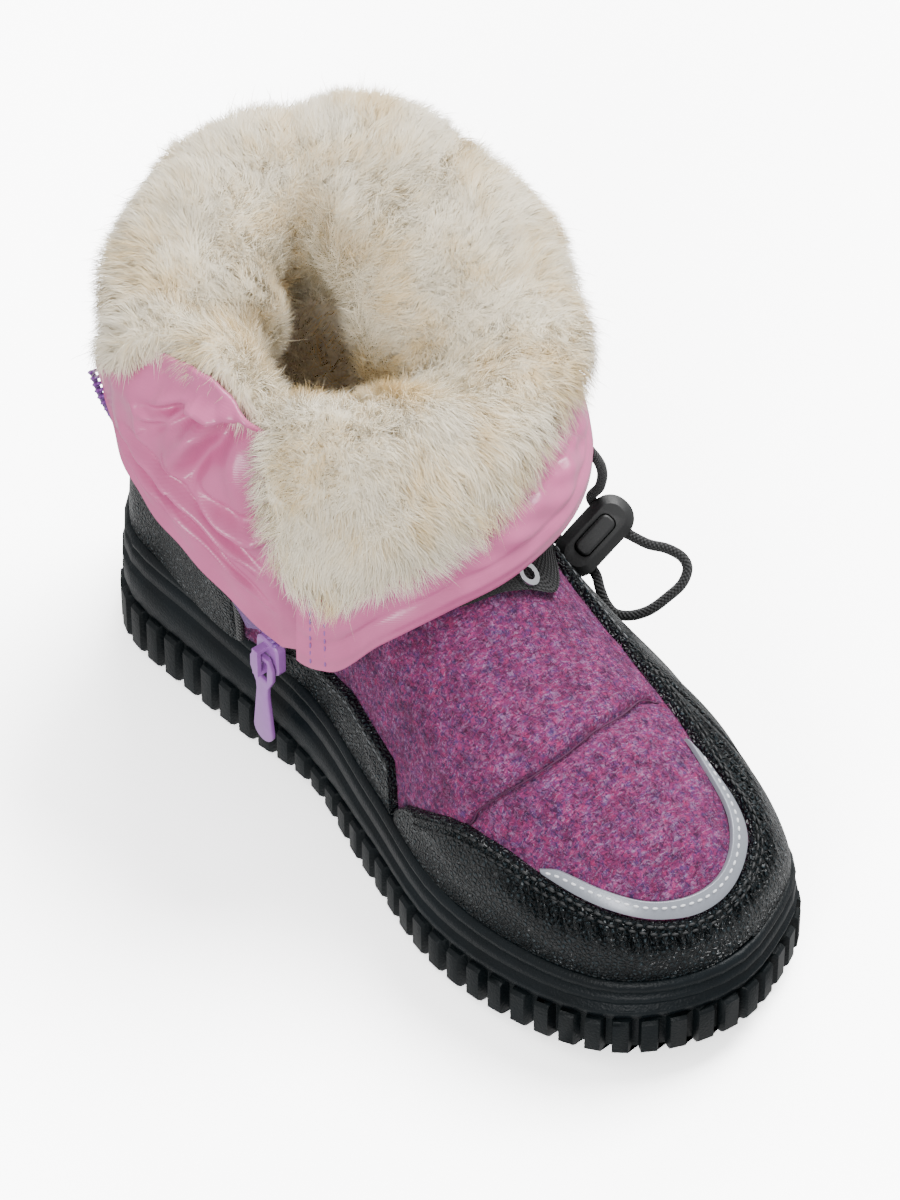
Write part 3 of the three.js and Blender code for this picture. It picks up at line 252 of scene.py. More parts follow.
def skin(share, height):
    share, height = np.broadcast_arrays(np.asarray(share, float), np.asarray(height, float))
    rim = outline_at(share, RIM_INSET)
    even = math.pi * (1 + 2 * np.mod(share, 1))
    low = np.arctan2(rim[..., 1] - ANKLE_Y, rim[..., 0] - ANKLE_X)
    low = low + np.round((even - low) / (2 * math.pi)) * 2 * math.pi
    turn = lerp(low, even, 0.75 * ease((height - 22) / 40))
    dx, dy, up = np.cos(turn), np.sin(turn), np.maximum(0, height)
    near, far = np.full(share.shape, 8.0), np.full(share.shape, 170.0)
    for _ in range(26):
        r = (near + far) / 2
        inside = crown(ANKLE_X + dx * r, ANKLE_Y + dy * r) >= up
        near, far = np.where(inside, r, near), np.where(inside, far, r)
    foot = near * (1 - 0.2 * ease((-dx + 0.3) / 0.9) * (up / UPPER_TOP) ** 1.4)
    leg = (lerp(0.78, 1, ease(height / ANKLE_RISE)) * ANKLE_FRONT * ANKLE_SIDE
           / np.hypot(ANKLE_SIDE * dx, ANKLE_FRONT * dy))
    gap = np.maximum(0, 1 - np.abs(foot - leg) / 8)
    r = np.maximum(foot, leg) + 2 * gap * gap
    x, y = ANKLE_X + dx * r, ANKLE_Y + dy * r
    return np.stack([x, y, sole(x, "rim") + height], -1)


def skin_normal(share, height):
    up = skin(share, np.asarray(height) + 1.2) - skin(share, np.maximum(0, np.asarray(height) - 1.2))
    return unit(np.cross(skin(share + 0.004, height) - skin(share - 0.004, height), up))


def off_skin(share, height, off):
    share, height, off = np.broadcast_arrays(*(np.asarray(v, float) for v in (share, height, off)))
    p = skin(share, height)
    q = outline_at(share, RIM_INSET - off)
    low = np.concatenate([q, p[..., 2:]], -1)
    return np.where((height <= 0)[..., None], low, p + skin_normal(share, height) * off[..., None])


# The cuff: nylon that rises from the ankle, folds over and hangs down, and the pile on it.

def nylon_rows(turn):
    wall, fold, top, skirt, hem = (float(read(CUFF, c, turn, 360))
                                   for c in ("wall", "fold", "top", "skirt", "hem"))
    crest = top - FUR - NYLON / 2
    half, drop = fold - wall, top - FUR - NYLON / 2 - hem
    foot = min(CUFF_FOOT, crest - half - 5)
    return np.array([
        (wall - 0.5, foot), (wall - 0.3, lerp(foot, crest - half, 0.5)),
        (wall, crest - half * 0.95), (fold - half * 0.6, crest - half * 0.2), (fold, crest),
        (fold + half * 0.8, crest - half * 0.35),
        (lerp(fold + half, skirt, 0.45), crest - drop * 0.38),
        (lerp(fold + half, skirt, 0.85), crest - drop * 0.7), (skirt, hem)])


def on_cuff(turn, radius, z):
    a = np.radians(turn)
    return np.stack(np.broadcast_arrays(CUFF_X + np.cos(a) * radius, np.sin(a) * radius, z), -1)


def beside(rows, t, off):
    """Radius and height beside the nylon's line, positive on the pile's side."""
    p = spline(rows, t)
    d = unit(spline(rows, np.minimum(1, t + 0.01)) - spline(rows, np.maximum(0, t - 0.01)))
    return p[..., 0] - d[..., 1] * off, p[..., 1] + d[..., 0] * off


def fur_end(rows, turn, above=0.0):
    """Where the pile's backing ends on the nylon's line; the strands hang lower."""
    t = np.linspace(0.5, 1, 400)
    below = spline(rows, t)[:, 1] <= float(read(CUFF, "fur", turn, 360)) + above
    return t[np.argmax(below)] if below.any() else 1.0


# Meshes

def to_row(points):
    """Millimetres from the heel to metres in the boot's frame."""
    return (np.asarray(points, float) - (HEEL_SEAT, 0, 0)) * 0.001


def mesh_piece(name, points, faces, material, uv=None, smooth=True, body="boot"):
    """A new object from points in millimetres; uv is one pair for each corner."""
    mesh = bpy.data.meshes.new(name)
    sizes = np.full(len(faces), faces.shape[1])
    mesh.vertices.add(len(points))
    mesh.vertices.foreach_set("co", to_row(points).astype(np.float32).ravel())
    mesh.loops.add(faces.size)
    mesh.loops.foreach_set("vertex_index", faces.astype(np.int32).ravel())
    mesh.polygons.add(len(faces))
    mesh.polygons.foreach_set("loop_start", np.concatenate([[0], np.cumsum(sizes)[:-1]]).astype(np.int32))
    mesh.polygons.foreach_set("use_smooth", np.full(len(faces), smooth))
    mesh.update(calc_edges=True)
    if uv is not None:
        layer = mesh.uv_layers.new(name="cloth")
        layer.data.foreach_set("uv", uv.astype(np.float32).ravel())
    mesh.validate()
    return show(name, mesh, material, body)


def show(name, mesh, material, body="boot"):
    piece = bpy.data.objects.new(name, mesh)
    bpy.context.scene.collection.objects.link(piece)
    if material:
        mesh.materials.clear()
        mesh.materials.append(material)
    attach(piece, body)
    return piece


def grid_faces(nu, nv, around=False, flip=False):
    at = np.arange(nu * nv).reshape(nu, nv)
    nxt = np.roll(at, -1, axis=0)
    rows = nu if around else nu - 1
    quads = np.stack([at[:rows, :-1], nxt[:rows, :-1], nxt[:rows, 1:], at[:rows, 1:]], -1).reshape(-1, 4)
    return quads[:, ::-1] if flip else quads


def grid_piece(name, points, material, around=False, flip=False, uv=None, body="boot"):
    """A surface from a grid of points; uv is a grid of pairs in millimetres."""
    nu, nv = points.shape[:2]
    faces = grid_faces(nu, nv, around, flip)
    corner = None if uv is None else uv.reshape(-1, 2)[faces.ravel()]
    return mesh_piece(name, points.reshape(-1, 3), faces, material, corner, body=body)


def dressed(node, material, round_edges=0.0, angle=35, segments=2, name=None):
    """A merged copy of a solid, with its edges rounded, in its place."""
    source = frame["nodes"][node]
    body = source["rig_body"]
    work = bmesh.new()
    work.from_mesh(source.data)
    bmesh.ops.remove_doubles(work, verts=work.verts, dist=1e-6)
    bmesh.ops.dissolve_limit(work, angle_limit=math.radians(0.5), verts=work.verts, edges=work.edges)
    mesh = bpy.data.meshes.new(name or node + "_dressed")
    work.to_mesh(mesh)
    work.free()
    piece = show(name or node + "_dressed", mesh, material, body)
    if round_edges:
        bevel = piece.modifiers.new("round", "BEVEL")
        bevel.width, bevel.segments = round_edges * 0.001, segments
        bevel.limit_method, bevel.angle_limit = "ANGLE", math.radians(angle)
        bevel.harden_normals = False
        settle(piece)
    piece.data.polygons.foreach_set("use_smooth", np.ones(len(piece.data.polygons), bool))
    piece.data.set_sharp_from_angle(angle=math.radians(angle + 5))
    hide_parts(node)
    return piece


def settle(piece):
    """Applies a piece's modifiers to its mesh."""
    evaluated = piece.evaluated_get(bpy.context.evaluated_depsgraph_get())
    mesh = bpy.data.meshes.new_from_object(evaluated)
    piece.modifiers.clear()
    old, piece.data = piece.data, mesh
    bpy.data.meshes.remove(old)


def fold(u, v, line, depth, width, ridge=0.5):
    """A crease along a line of points (u, v) in millimetres: a soft trough with a ridge beside it."""
    line = np.asarray(line, float)
    best, at = np.full(np.shape(u), 1e9), np.zeros(np.shape(u))
    for k in range(len(line) - 1):
        a, d = line[k], line[k + 1] - line[k]
        s = np.clip(((u - a[0]) * d[0] + (v - a[1]) * d[1]) / (d @ d), 0, 1)
        gap = np.hypot(u - a[0] - s * d[0], v - a[1] - s * d[1])
        side = np.sign((u - a[0]) * d[1] - (v - a[1]) * d[0])
        closer = gap < np.abs(best)
        best = np.where(closer, gap * np.where(side == 0, 1, side), best)
        at = np.where(closer, (k + s) / (len(line) - 1), at)
    fade = np.sin(np.pi * np.clip(at, 0.02, 0.98)) ** 0.6
    trough = -np.exp(-((best / width) ** 2))
    return depth * fade * (trough + ridge * np.exp(-(((best - 1.7 * width) / width) ** 2)))


# Materials

def srgb(code):
    c = np.array([int(code[i:i + 2], 16) / 255 for i in (1, 3, 5)])
    c = np.where(c <= 0.04045, c / 12.92, ((c + 0.055) / 1.055) ** 2.4)
    return (*c, 1.0)


def add(tree, kind, inputs=None, **settings):
    """Adds a node with its settings; an input takes a value or another node's output."""
    made = tree.nodes.new(kind)
    for key, value in settings.items():
        setattr(made, key, value)
    for key, value in (inputs or {}).items():
        if isinstance(value, bpy.types.NodeSocket):
            tree.links.new(value, made.inputs[key])
        else:
            made.inputs[key].default_value = value
    return made


def new_material(name):
    material = bpy.data.materials.new(name)
    material.use_nodes = True
    material.node_tree.nodes.clear()
    return material, material.node_tree


def close(tree, surface):
    add(tree, "ShaderNodeOutputMaterial", {"Surface": surface.outputs[0]})


def ramp(tree, value, stops):
    made = add(tree, "ShaderNodeValToRGB", {"Fac": value})
    while len(made.color_ramp.elements) < len(stops):
        made.color_ramp.elements.new(0.5)
    for element, (place, code) in zip(made.color_ramp.elements, stops):
        element.position, element.color = place, srgb(code)
    return made.outputs["Color"]


def moulded_rubber(name, code, light, gloss):
    """Moulded rubber: matt skin with a fine stipple from the mould and a little dust."""
    material, tree = new_material(name)
    at = add(tree, "ShaderNodeTexCoord").outputs["Object"]
    stipple = add(tree, "ShaderNodeTexNoise", {"Vector": at, "Scale": 1500, "Detail": 3}).outputs[0]
    dust = add(tree, "ShaderNodeTexNoise", {"Vector": at, "Scale": 60, "Detail": 4}).outputs[0]
    colour = ramp(tree, dust, [(0.35, code), (0.75, light)])
    bump = add(tree, "ShaderNodeBump", {"Height": stipple, "Strength": 0.6, "Distance": 0.0003})
    rough = add(tree, "ShaderNodeMapRange", {"Value": dust, "To Min": gloss - 0.06, "To Max": gloss + 0.1})
    close(tree, add(tree, "ShaderNodeBsdfPrincipled", {
        "Base Color": colour, "Roughness": rough.outputs[0], "IOR": 1.5, "Specular IOR Level": 0.16,
        "Normal": bump.outputs[0]}))
    return material


def coated_leather(name="coated_leather"):
    """Split leather with an embossed polyurethane coat: pebbles about 0.8 mm across, painted darker in the grooves
    between them as painted shade, with painted highlights on their tops and painted glints as grey specks.
    """
    material, tree = new_material(name)
    at = add(tree, "ShaderNodeTexCoord").outputs["Object"]
    bend = add(tree, "ShaderNodeTexNoise", {"Vector": at, "Scale": 500, "Detail": 2})
    warp = add(tree, "ShaderNodeVectorMath", {0: bend.outputs["Color"], 1: (0.0009, 0.0009, 0.0009)},
               operation="MULTIPLY")
    moved = add(tree, "ShaderNodeVectorMath", {0: at, 1: warp.outputs[0]}, operation="ADD").outputs[0]
    pebble = add(tree, "ShaderNodeTexVoronoi", {"Vector": moved, "Scale": 850},
                 feature="DISTANCE_TO_EDGE").outputs["Distance"]
    height = add(tree, "ShaderNodeMapRange", {"Value": pebble, "From Max": 0.35}).outputs[0]
    broad = add(tree, "ShaderNodeTexNoise", {"Vector": at, "Scale": 90, "Detail": 3}).outputs[0]
    # Painted glints: fine light grey specks in the colour stand in for the shine of the grain.
    glint_speck = add(tree, "ShaderNodeTexNoise", {"Vector": at, "Scale": 1300, "Detail": 3}).outputs[0]
    tone = ramp(tree, glint_speck, [(0.45, "#05090b"), (0.58, "#0c1519"), (0.68, "#42545c")])
    # Painted shade and highlight: the colour is darkest in the grooves between the pebbles and lightest on their tops.
    grain = ramp(tree, height, [(0.0, "#020304"), (0.3, "#090f12"), (1.0, "#1b292f")])
    worn = ramp(tree, broad, [(0.3, "#080b0d"), (0.7, "#121618")])
    worn_with_glints = add(tree, "ShaderNodeMix", {0: 0.3, 6: tone, 7: worn}, data_type="RGBA").outputs[2]
    colour = add(tree, "ShaderNodeMix", {0: 0.55, 6: worn_with_glints, 7: grain}, data_type="RGBA").outputs[2]
    bump = add(tree, "ShaderNodeBump", {"Height": height, "Strength": 1.0, "Distance": 0.0014})
    close(tree, add(tree, "ShaderNodeBsdfPrincipled", {
        "Base Color": colour, "Roughness": 0.3, "IOR": 1.5, "Specular IOR Level": 0.34, "Normal": bump.outputs[0]}))
    return material


def wool_felt(name="wool_felt"):
    """Milled wool felt: tufts of magenta, violet, lilac and blue 1 to 2 mm across, crossed by fine fibres."""
    material, tree = new_material(name)
    at = add(tree, "ShaderNodeTexCoord").outputs["Object"]
    wander = add(tree, "ShaderNodeTexNoise", {"Vector": at, "Scale": 700, "Detail": 3})
    warp = add(tree, "ShaderNodeVectorMath", {0: wander.outputs["Color"], 1: (0.0016, 0.0016, 0.0016)},
               operation="MULTIPLY")
    moved = add(tree, "ShaderNodeVectorMath", {0: at, 1: warp.outputs[0]}, operation="ADD").outputs[0]
    tufts = [
        ((0.0, 0.0, 0.0), (1.0, 1.0, 1.0), 420, 0.46, 0.6, "#6f2a55", 1.0),
        ((0.4, 0.9, 1.4), (1.0, 0.6, 0.8), 700, 0.5, 0.64, "#41305f", 0.8),
        ((1.2, 0.2, 0.4), (0.6, 1.0, 0.7), 800, 0.52, 0.64, "#8a2a54", 0.8),
        ((0.5, 1.5, 0.1), (0.8, 0.7, 1.0), 760, 0.54, 0.66, "#7d5f82", 0.7),
        ((0.9, 0.4, 2.1), (1.0, 0.18, 0.25), 3000, 0.53, 0.64, "#9a7d9e", 0.55),
        ((2.0, 0.7, 0.9), (0.2, 1.0, 0.25), 3200, 0.52, 0.62, "#272346", 0.85),
        ((0.1, 2.4, 0.6), (0.9, 0.2, 0.35), 2800, 0.54, 0.65, "#a03a6c", 0.6),
        ((1.7, 1.1, 0.3), (0.2, 0.25, 1.0), 3000, 0.53, 0.63, "#3c1634", 0.85),
    ]
    colour = None
    for turn, stretch, scale, start, stop, code, most in tufts:
        laid = add(tree, "ShaderNodeMapping", {"Vector": moved, "Rotation": turn, "Scale": stretch})
        streak = add(tree, "ShaderNodeTexNoise", {"Vector": laid.outputs[0], "Scale": scale, "Detail": 4,
                                                  "Roughness": 0.6}).outputs[0]
        share = add(tree, "ShaderNodeMapRange", {"Value": streak, "From Min": start, "From Max": stop,
                                                 "To Max": most}).outputs[0]
        under = srgb("#6a2650") if colour is None else colour
        colour = add(tree, "ShaderNodeMix", {0: share, 6: under, 7: srgb(code)}, data_type="RGBA").outputs[2]
    broad = add(tree, "ShaderNodeTexNoise", {"Vector": at, "Scale": 210, "Detail": 5, "Roughness": 0.65}).outputs[0]
    shade = add(tree, "ShaderNodeMapRange", {"Value": broad, "From Min": 0.3, "From Max": 0.7,
                                             "To Min": 0.5, "To Max": 1.38}).outputs[0]
    colour = add(tree, "ShaderNodeVectorMath", {0: colour, 1: shade}, operation="MULTIPLY").outputs[0]
    nap = add(tree, "ShaderNodeTexNoise", {"Vector": moved, "Scale": 1500, "Detail": 4,
                                           "Roughness": 0.7}).outputs[0]
    bump = add(tree, "ShaderNodeBump", {"Height": nap, "Strength": 0.8, "Distance": 0.0006})
    close(tree, add(tree, "ShaderNodeBsdfPrincipled", {
        "Base Color": colour, "Roughness": 0.95, "IOR": 1.4, "Specular IOR Level": 0.2, "Sheen Weight": 0.1,
        "Sheen Roughness": 0.6, "Sheen Tint": srgb("#b890bc"), "Normal": bump.outputs[0]}))
    return material


def strand(name, root, middle, tip, shade, gloss, sheen):
    """Spun fibre: darker towards the root as painted shade down in the pile, lighter at the tip as painted light, and
    each strand a little different.
    """
    material, tree = new_material(name)
    uv = add(tree, "ShaderNodeUVMap", uv_map="cloth").outputs[0]
    parts = add(tree, "ShaderNodeSeparateXYZ", {0: uv})
    # Painted shade and light along each strand: the root colour is the shade down in the pile, the tip colour the
    # light on the ends.
    along = ramp(tree, parts.outputs[1], [(0.0, root), (0.5, middle), (1.0, tip)])
    tone = ramp(tree, parts.outputs[0], [(0.1, shade), (0.6, "#ffffff")])
    colour = add(tree, "ShaderNodeVectorMath", {0: along, 1: tone}, operation="MULTIPLY")
    close(tree, add(tree, "ShaderNodeBsdfPrincipled", {
        "Base Color": colour.outputs[0], "Roughness": gloss, "IOR": 1.45, "Specular IOR Level": 0.2,
        "Sheen Weight": sheen, "Sheen Roughness": 0.5}))
    return material


def pile_backing(name="pile_backing"):
    """Knitted back of the pile, seen only between the strands, with painted shade: a little darker than the strands
    and darker still in the hollows of its tufts.
    """
    material, tree = new_material(name)
    at = add(tree, "ShaderNodeTexCoord").outputs["Object"]
    tuft = add(tree, "ShaderNodeTexNoise", {"Vector": at, "Scale": 420, "Detail": 4}).outputs[0]
    # Painted shade: the colour darkens where the tufts dip, and stays a little darker than the strands.
    colour = ramp(tree, tuft, [(0.3, "#ece0c6"), (0.7, "#f4ecd9")])
    bump = add(tree, "ShaderNodeBump", {"Height": tuft, "Strength": 0.8, "Distance": 0.0015})
    close(tree, add(tree, "ShaderNodeBsdfPrincipled", {
        "Base Color": colour, "Roughness": 1.0, "Specular IOR Level": 0.1, "Normal": bump.outputs[0]}))
    return material


def coated_nylon(name, code, rumple_hollow_shade):
    """Tightly woven polyamide with a thin coat: satin shine, threads about 0.25 mm apart; its colour is darker where
    the rumples dip, painted shade in their hollows.
    """
    material, tree = new_material(name)
    at = add(tree, "ShaderNodeTexCoord").outputs["Object"]
    rumple = add(tree, "ShaderNodeTexNoise", {"Vector": at, "Scale": 120, "Detail": 5,
                                              "Roughness": 0.55}).outputs[0]
    thread = add(tree, "ShaderNodeTexWave", {"Vector": at, "Scale": 640, "Distortion": 0.4},
                 bands_direction="Z").outputs[1]
    # Painted shade: the colour darkens where the rumple bump dips.
    colour = ramp(tree, rumple, [(0.3, rumple_hollow_shade), (0.62, code)])
    both = add(tree, "ShaderNodeMath", {0: rumple, 1: 12.0, 2: thread}, operation="MULTIPLY_ADD")
    bump = add(tree, "ShaderNodeBump", {"Height": both.outputs[0], "Strength": 0.3, "Distance": 0.00006})
    close(tree, add(tree, "ShaderNodeBsdfPrincipled", {
        "Base Color": colour, "Roughness": 0.3, "IOR": 1.5, "Sheen Weight": 0.04,
        "Sheen Roughness": 0.4, "Coat Weight": 0.1, "Coat Roughness": 0.35,
        "Normal": bump.outputs[0]}))
    return material


def plain(name, code, gloss, metal=0.0, grain=1200, strength=0.15, coat=0.0):
    """Moulded plastic, thread or plated metal with a fine grain."""
    material, tree = new_material(name)
    at = add(tree, "ShaderNodeTexCoord").outputs["Object"]
    fine = add(tree, "ShaderNodeTexNoise", {"Vector": at, "Scale": grain, "Detail": 2}).outputs[0]
    soft = add(tree, "ShaderNodeMapRange", {"Value": fine, "To Min": 0.88, "To Max": 1.12}).outputs[0]
    colour = add(tree, "ShaderNodeVectorMath", {0: srgb(code)[:3], 1: soft}, operation="MULTIPLY")
    bump = add(tree, "ShaderNodeBump", {"Height": fine, "Strength": strength, "Distance": 0.0002})
    close(tree, add(tree, "ShaderNodeBsdfPrincipled", {
        "Base Color": colour.outputs[0], "Roughness": gloss, "Metallic": metal,
        "Coat Weight": coat, "Coat Roughness": 0.3, "Normal": bump.outputs[0]}))
    return material


def woven(name, code, light, across, along):
    """Polyester weave whose ribs and threads follow the piece's own lengths in millimetres; its colour is lighter on
    the raised threads and darker between them, painted highlight and painted shade.
    """
    material, tree = new_material(name)
    uv = add(tree, "ShaderNodeUVMap", uv_map="cloth").outputs[0]
    parts = add(tree, "ShaderNodeSeparateXYZ", {0: uv})
    waves = []
    for socket, pitch in ((parts.outputs[0], across), (parts.outputs[1], along)):
        turn = add(tree, "ShaderNodeMath", {0: socket, 1: 2 * math.pi / pitch}, operation="MULTIPLY")
        waves.append(add(tree, "ShaderNodeMath", {0: turn.outputs[0]}, operation="SINE").outputs[0])
    height = add(tree, "ShaderNodeMath", {0: waves[0], 1: waves[1]}, operation="MULTIPLY").outputs[0]
    # Painted shade and highlight: the colour follows the weave's height, dark in the dips and light on the raised
    # threads.
    colour = ramp(tree, height, [(0.0, code), (1.0, light)])
    bump = add(tree, "ShaderNodeBump", {"Height": height, "Strength": 0.8, "Distance": 0.0003})
    close(tree, add(tree, "ShaderNodeBsdfPrincipled", {
        "Base Color": colour, "Roughness": 0.72, "Sheen Weight": 0.15, "Sheen Roughness": 0.5,
        "Normal": bump.outputs[0]}))
    return material


rubber = moulded_rubber("moulded_rubber", "#050a0c", "#0a1114", 0.46)
rubber_side = moulded_rubber("moulded_rubber_side", "#060b0e", "#0b1317", 0.38)
leather = coated_leather()
felt = wool_felt()
# Root, middle and tip colours of the fibres and the pile: painted shade at the root, painted light at the tip.
fibre = strand("felt_fibre", "#5f2a52", "#84466f", "#9c7396", "#8a5f92", 0.9, 0.05)
pile = strand("acrylic_pile", "#f6ecd4", "#f5ebd3", "#f7efdc", "#f2e3c2", 0.85, 0.15)
backing = pile_backing()
nylon = coated_nylon("coated_nylon", "#c2628f", "#b95b87")
reflective = plain("glass_bead_film", "#858992", 0.34, 0.25, 2600, 0.2, 0.2)
webbing = woven("polyester_webbing", "#0a0b0c", "#232527", 1.15, 0.9)
zip_tape = woven("zip_tape", "#6f4288", "#9366a8", 0.5, 0.7)
zip_teeth = plain("zip_teeth", "#7f4b9c", 0.38, 0, 900, 0.1)
painted = plain("painted_zinc", "#9c63ae", 0.36, 0, 500, 0.05, 0.25)
plated = plain("plated_brass", "#c9ccd0", 0.22, 1.0, 300, 0.03)
toggle = plain("moulded_polyamide", "#121314", 0.5, 0, 1800, 0.25)
black_thread = plain("black_thread", "#0a0d0f", 0.6, 0, 2500, 0.3)
# Dark colour of the tube laid in the vamp seam's groove: painted shadow.
seam_shadow_material = plain("painted_seam_shadow", "#45193a", 0.9, 0, 2500, 0.3)
grey_thread = plain("grey_thread", "#55585a", 0.65, 0, 2500, 0.3)
pale_thread = plain("pale_thread", "#d9dbe0", 0.6, 0, 2500, 0.3)
violet_thread = plain("violet_thread", "#8a5a9c", 0.6, 0, 2500, 0.3)
elastic = woven("braided_elastic", "#0c0d0e", "#242628", 1.0, 1.3)

# Camera: at the photo's angle, from in front of the medial toe and above

target = Vector((0.0504, 0.0099, 0.0400))
back = Vector((0.5342, -0.4441, 0.7193)).normalized()
camera = bpy.data.objects.new("camera", bpy.data.cameras.new("camera"))
bpy.context.scene.collection.objects.link(camera)
camera.data.sensor_width, camera.data.lens = 36.0, 179.95
camera.data.clip_start, camera.data.clip_end = 0.05, 20
camera.location = target + back * 1.4
camera.rotation_mode = "QUATERNION"
camera.rotation_quaternion = (-back).to_track_quat("-Z", "Y")
bpy.context.scene.camera = camera

# Drawcord: round braided elastic out of the hem, through the toggle, a free loop and back

along = unit(np.array((0, 0.88, 0.47)))
face = np.array((0.55, -0.38, 0.74))
face = unit(face - along * (face @ along))
over = np.cross(face, along)
TOGGLE = np.array((107.5, 43.5, 49.0))


def on_toggle(a, u, f):
    return tuple(TOGGLE + along * a + over * u + face * f)


cord_points = [
    (106, 36.5, 87), (110, 40, 80.5), (108.5, 44.6, 71), (105, 47.3, 61),
    on_toggle(6, 6.1, -1.6), on_toggle(6, 0, -1.6), on_toggle(6, -6.1, -1.6),
    (109.5, 50.4, 48), (116.1, 52.8, 47), (120, 55.6, 46.6), (123.5, 57.2, 45.4),
    (125.6, 57, 43.8), (126.9, 54.4, 41.4), (126.5, 50.2, 39.1), (125.3, 45.2, 36.8),
    (122.9, 41.2, 35.9), (120.4, 39.2, 36.1), (117.7, 38.7, 37.8), (115.4, 39, 40),
    on_toggle(-6, -6.1, -1.6), on_toggle(-6, 0, -1.6), on_toggle(-6, 6.1, -1.6),
    (101.5, 38.5, 60), (105, 41.2, 71), (104.5, 40.2, 80), (101, 37.5, 87)]


def tube(name, points, diameter, material, sides=14, ring=None):
    """A tube along points in millimetres; ring gives its own radius at each step."""
    d = np.gradient(points, axis=0)
    d = unit(d)
    side = np.zeros_like(points)
    side[0] = unit(np.cross(d[0], (0.3, 0.9, 0.2)))
    for i in range(1, len(points)):
        side[i] = unit(side[i - 1] - d[i] * (side[i - 1] @ d[i]))
    other = np.cross(d, side)
    a = np.linspace(0, 2 * math.pi, sides, endpoint=False)
    radius = (np.full(len(points), diameter / 2) if ring is None else ring)[:, None, None]
    grid = points[:, None] + radius * (side[:, None] * np.cos(a)[None, :, None]
                                       + other[:, None] * np.sin(a)[None, :, None])
    grid = np.concatenate([grid, grid[:, :1]], axis=1)
    run = np.concatenate([[0], np.cumsum(np.linalg.norm(np.diff(points, axis=0), axis=1))])
    uv = np.stack(np.meshgrid(run, np.linspace(0, math.pi * diameter, sides + 1), indexing="ij"), -1)
    grid[0], grid[-1] = points[0], points[-1]
    return grid_piece(name, grid, material, flip=False, uv=uv)


cord_path = even_path(spline(np.array(cord_points), np.linspace(0, 1, 900)), count=260)
drawcord = tube("drawcord_elastic", cord_path, CORD, elastic)
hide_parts("drawcord")

# Sole

outsole = dressed("outsole", rubber, 0.25, 40)
midsole = dressed("midsole", rubber_side, 0)
midsole.data.set_sharp_from_angle(angle=math.radians(60))
insole = dressed("insole", backing, 0.3, 50)

# Felt upper: the instep piece laps over the toe piece at the seam across the vamp

shares = np.linspace(0, 1, 420, endpoint=False)
near_seam = np.concatenate([np.linspace(-7.7, 0.0, 3), np.linspace(1.5, 33, 30), np.linspace(33.8, 36.6, 7),
                            [36.8, 37.0, 37.1, 37.25, 37.5, 37.9, 38.5], np.linspace(39.5, UPPER_TOP, 20)])
S, L = np.meshgrid(shares, near_seam, indexing="ij")
seam = read(SEAM_LINE, "height", S)
H = np.where(L <= 0, L, np.where(L <= SEAM_HEIGHT, L * seam / SEAM_HEIGHT,
                                 lerp(seam, UPPER_TOP, (L - SEAM_HEIGHT) / (UPPER_TOP - SEAM_HEIGHT))))
across = ease((S - 0.34) / 0.03) * ease((0.575 - S) / 0.03)
lap = 1.25 * across * ease((L - 36.9) / 0.5) * (1 - ease((L - SEAM_HEIGHT) / 7))
tuck = -1.4 * across * np.exp(-(((L - 36.85) / 0.36) ** 2))
swell = (0.22 * np.sin(31 * S + 0.31 * L) * np.sin(0.27 * L + 47 * S) + 0.12 * np.sin(97 * S - 0.7 * L))
puff = swell * ease((L - 1) / 6) * (0.4 + 0.6 * across)
outer = off_skin(S, H, lap + tuck + puff)
top_in = off_skin(S[:, -1:], H[:, -1:], np.array([[-0.4, -FELT + 0.4, -FELT]]))
top_in[:, 0, 2] += 0.3
upper = grid_piece("felt_upper", np.concatenate([outer, top_in], axis=1), felt, around=True)
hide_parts("upper")

# A thin dark tube laid in the groove of the seam as its painted shadow.
line = np.linspace(0.345, 0.566, 160)
tube("vamp_seam_painted_shadow", off_skin(line, read(SEAM_LINE, "height", line) - 0.1, -0.35), 0.45, seam_shadow_material, 6)

# Inside of the upper: the same pile as the cuff, down to the footbed
levels = np.linspace(-7.0, UPPER_TOP - 1, 22)
inside_s = np.linspace(0, 1, 120, endpoint=False)
S2, H2 = np.meshgrid(inside_s, levels, indexing="ij")
lining_grid = off_skin(S2, H2, -FELT - 0.4 - 1.6 * ease((H2 + 2) / 5))
lining = grid_piece("boot_lining", lining_grid, backing, around=True, flip=True)


# Panels of coated leather, the strip and the webbing, laid on the felt

